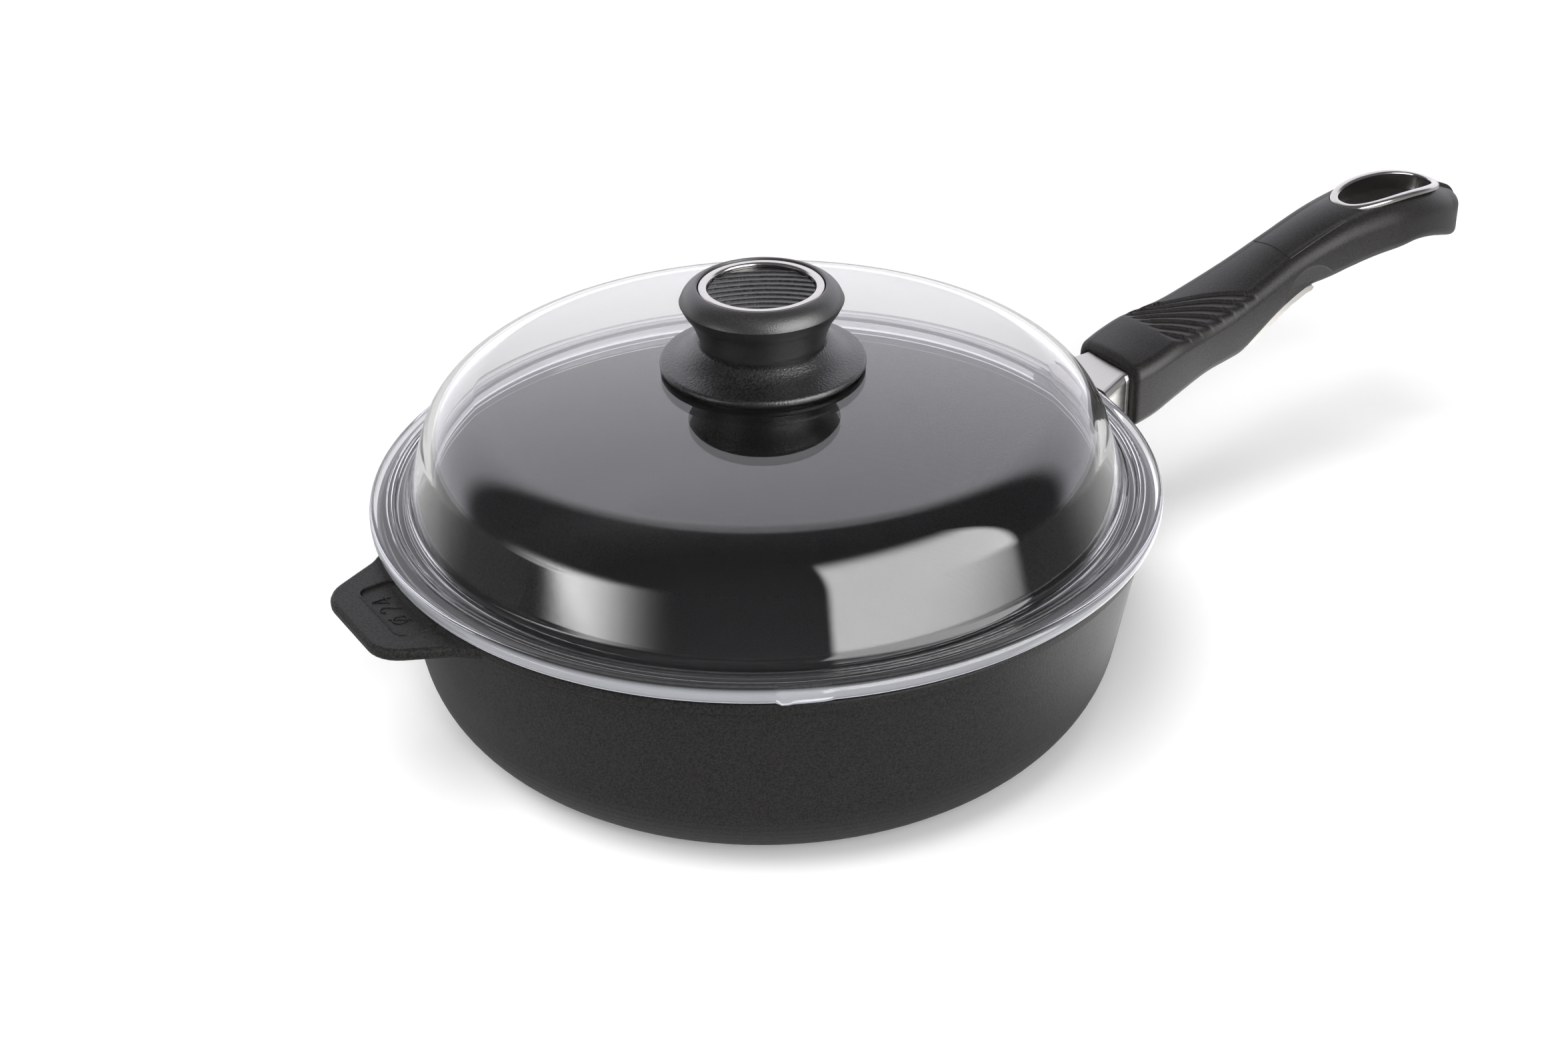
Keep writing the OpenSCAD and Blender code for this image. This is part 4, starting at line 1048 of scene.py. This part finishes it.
def key_light(azimuth, elevation, strength, angle):
    """Soft light from the camera's side, which lights the floor evenly and isn't mirrored anywhere."""
    data = bpy.data.lights.new("key_light", "SUN")
    data.energy = strength
    data.angle = math.radians(angle)
    light = new_object("key_light", data)
    light.rotation_euler = (-direction(azimuth, elevation)).to_track_quat("-Z", "Y").to_euler()
    light.visible_glossy = False
    light.visible_transmission = False


def card_material(name, radiance, fades, falloff):
    """Light that fades towards the edges of its card: shares of its half size at the sides, bottom, top."""
    mat = bpy.data.materials.new(name)
    tree, surface = empty_tree(mat, "ShaderNodeOutputMaterial")
    split = tree.nodes.new("ShaderNodeSeparateXYZ")
    tree.links.new(object_place(tree), split.inputs["Vector"])
    sides, bottom, top = fades
    strength = fade(tree, number(tree, "ABSOLUTE", split.outputs["X"]), 1.0, 1.0 - sides)
    for start, end in ((-1.0, -1.0 + bottom), (1.0, 1.0 - top)):
        strength = number(tree, "MULTIPLY", strength, fade(tree, split.outputs["Z"], start, end))
    strength = number(tree, "POWER", strength, falloff)
    glow = tree.nodes.new("ShaderNodeEmission")
    tree.links.new(remap(tree, strength, 0.0, radiance), glow.inputs["Strength"])
    clear = tree.nodes.new("ShaderNodeBsdfTransparent")
    both = tree.nodes.new("ShaderNodeAddShader")
    tree.links.new(glow.outputs["Emission"], both.inputs[0])
    tree.links.new(clear.outputs["BSDF"], both.inputs[1])
    tree.links.new(both.outputs["Shader"], surface)
    return mat


def card(name, place, turn, size, radiance, fades, falloff):
    """A glowing card that shows only in what mirrors it; it hangs upright unless it is tilted."""
    mesh = bpy.data.meshes.new(name)
    mesh.from_pydata([(-1, 0, -1), (1, 0, -1), (1, 0, 1), (-1, 0, 1)], [], [(0, 1, 2, 3)])
    mesh.materials.append(card_material(name, radiance, fades, falloff))
    board = new_object(name, mesh)
    board.location = place
    board.rotation_euler = [math.radians(a) for a in turn]
    board.scale = (size[0] / 2, 1.0, size[1] / 2)
    board.visible_camera = False
    board.visible_diffuse = False
    board.visible_shadow = False


def softbox(name, azimuth, width, bottom, top, radiance, fades, falloff):
    """An upright card that faces the pan, from one height above the floor to another."""
    place = direction(azimuth, 0.0) * SOFTBOX_DISTANCE
    place.z = (bottom + top) / 2
    card(name, place, (0.0, 0.0, azimuth + 90.0), (width, top - bottom), radiance, fades, falloff)


def make_world():
    """A white sweep behind the pan, which what mirrors sees, and a dark studio all round else."""
    world = bpy.data.worlds.new("studio")
    bpy.context.scene.world = world
    tree, surface = empty_tree(world, "ShaderNodeOutputWorld")
    back = tree.nodes.new("ShaderNodeBackground")
    ray = tree.nodes.new("ShaderNodeLightPath").outputs
    coord = tree.nodes.new("ShaderNodeTexCoord")
    near, far = [math.cos(math.radians(spread)) for spread in SWEEP_SPREAD]
    sweep = remap(tree, along(tree, coord.outputs["Generated"], direction(*SWEEP_MIDDLE)),
                  STUDIO_DARK, SWEEP_LEVEL, far, near, "SMOOTHSTEP")
    mirrored = highest(tree, ray["Is Glossy Ray"], ray["Is Transmission Ray"])
    swept = number(tree, "MULTIPLY", sweep, mirrored)
    even = remap(tree, ray["Is Diffuse Ray"], 0.0, AMBIENT)
    tree.links.new(highest(tree, even, swept, ray["Is Camera Ray"]), back.inputs["Strength"])
    tree.links.new(ramp(tree, mirrored, 0.0, 1.0, WHITE, SWEEP_COLOR), back.inputs["Color"])
    tree.links.new(back.outputs["Background"], surface)


make_floor()
make_camera()
make_world()
for settings in KEY_LIGHTS:
    key_light(*settings)
softbox("softbox_large", azimuth=-75.0, width=0.72, bottom=0.03, top=1.0,
        radiance=6.9, fades=(0.12, 0.19, 1.0), falloff=1.0)
softbox("softbox_small", azimuth=-177.0, width=0.8, bottom=0.074, top=0.24,
        radiance=9.2, fades=(1.0, 0.29, 1.73), falloff=2.0)
card("reflector", place=(0.21, -0.126, 0.002), turn=(90.0, 0.0, -31.0), size=(0.25, 0.3),
     radiance=2.1, fades=(0.25, 0.3, 0.3), falloff=1.0)

bpy.context.scene.view_settings.view_transform = "Standard"
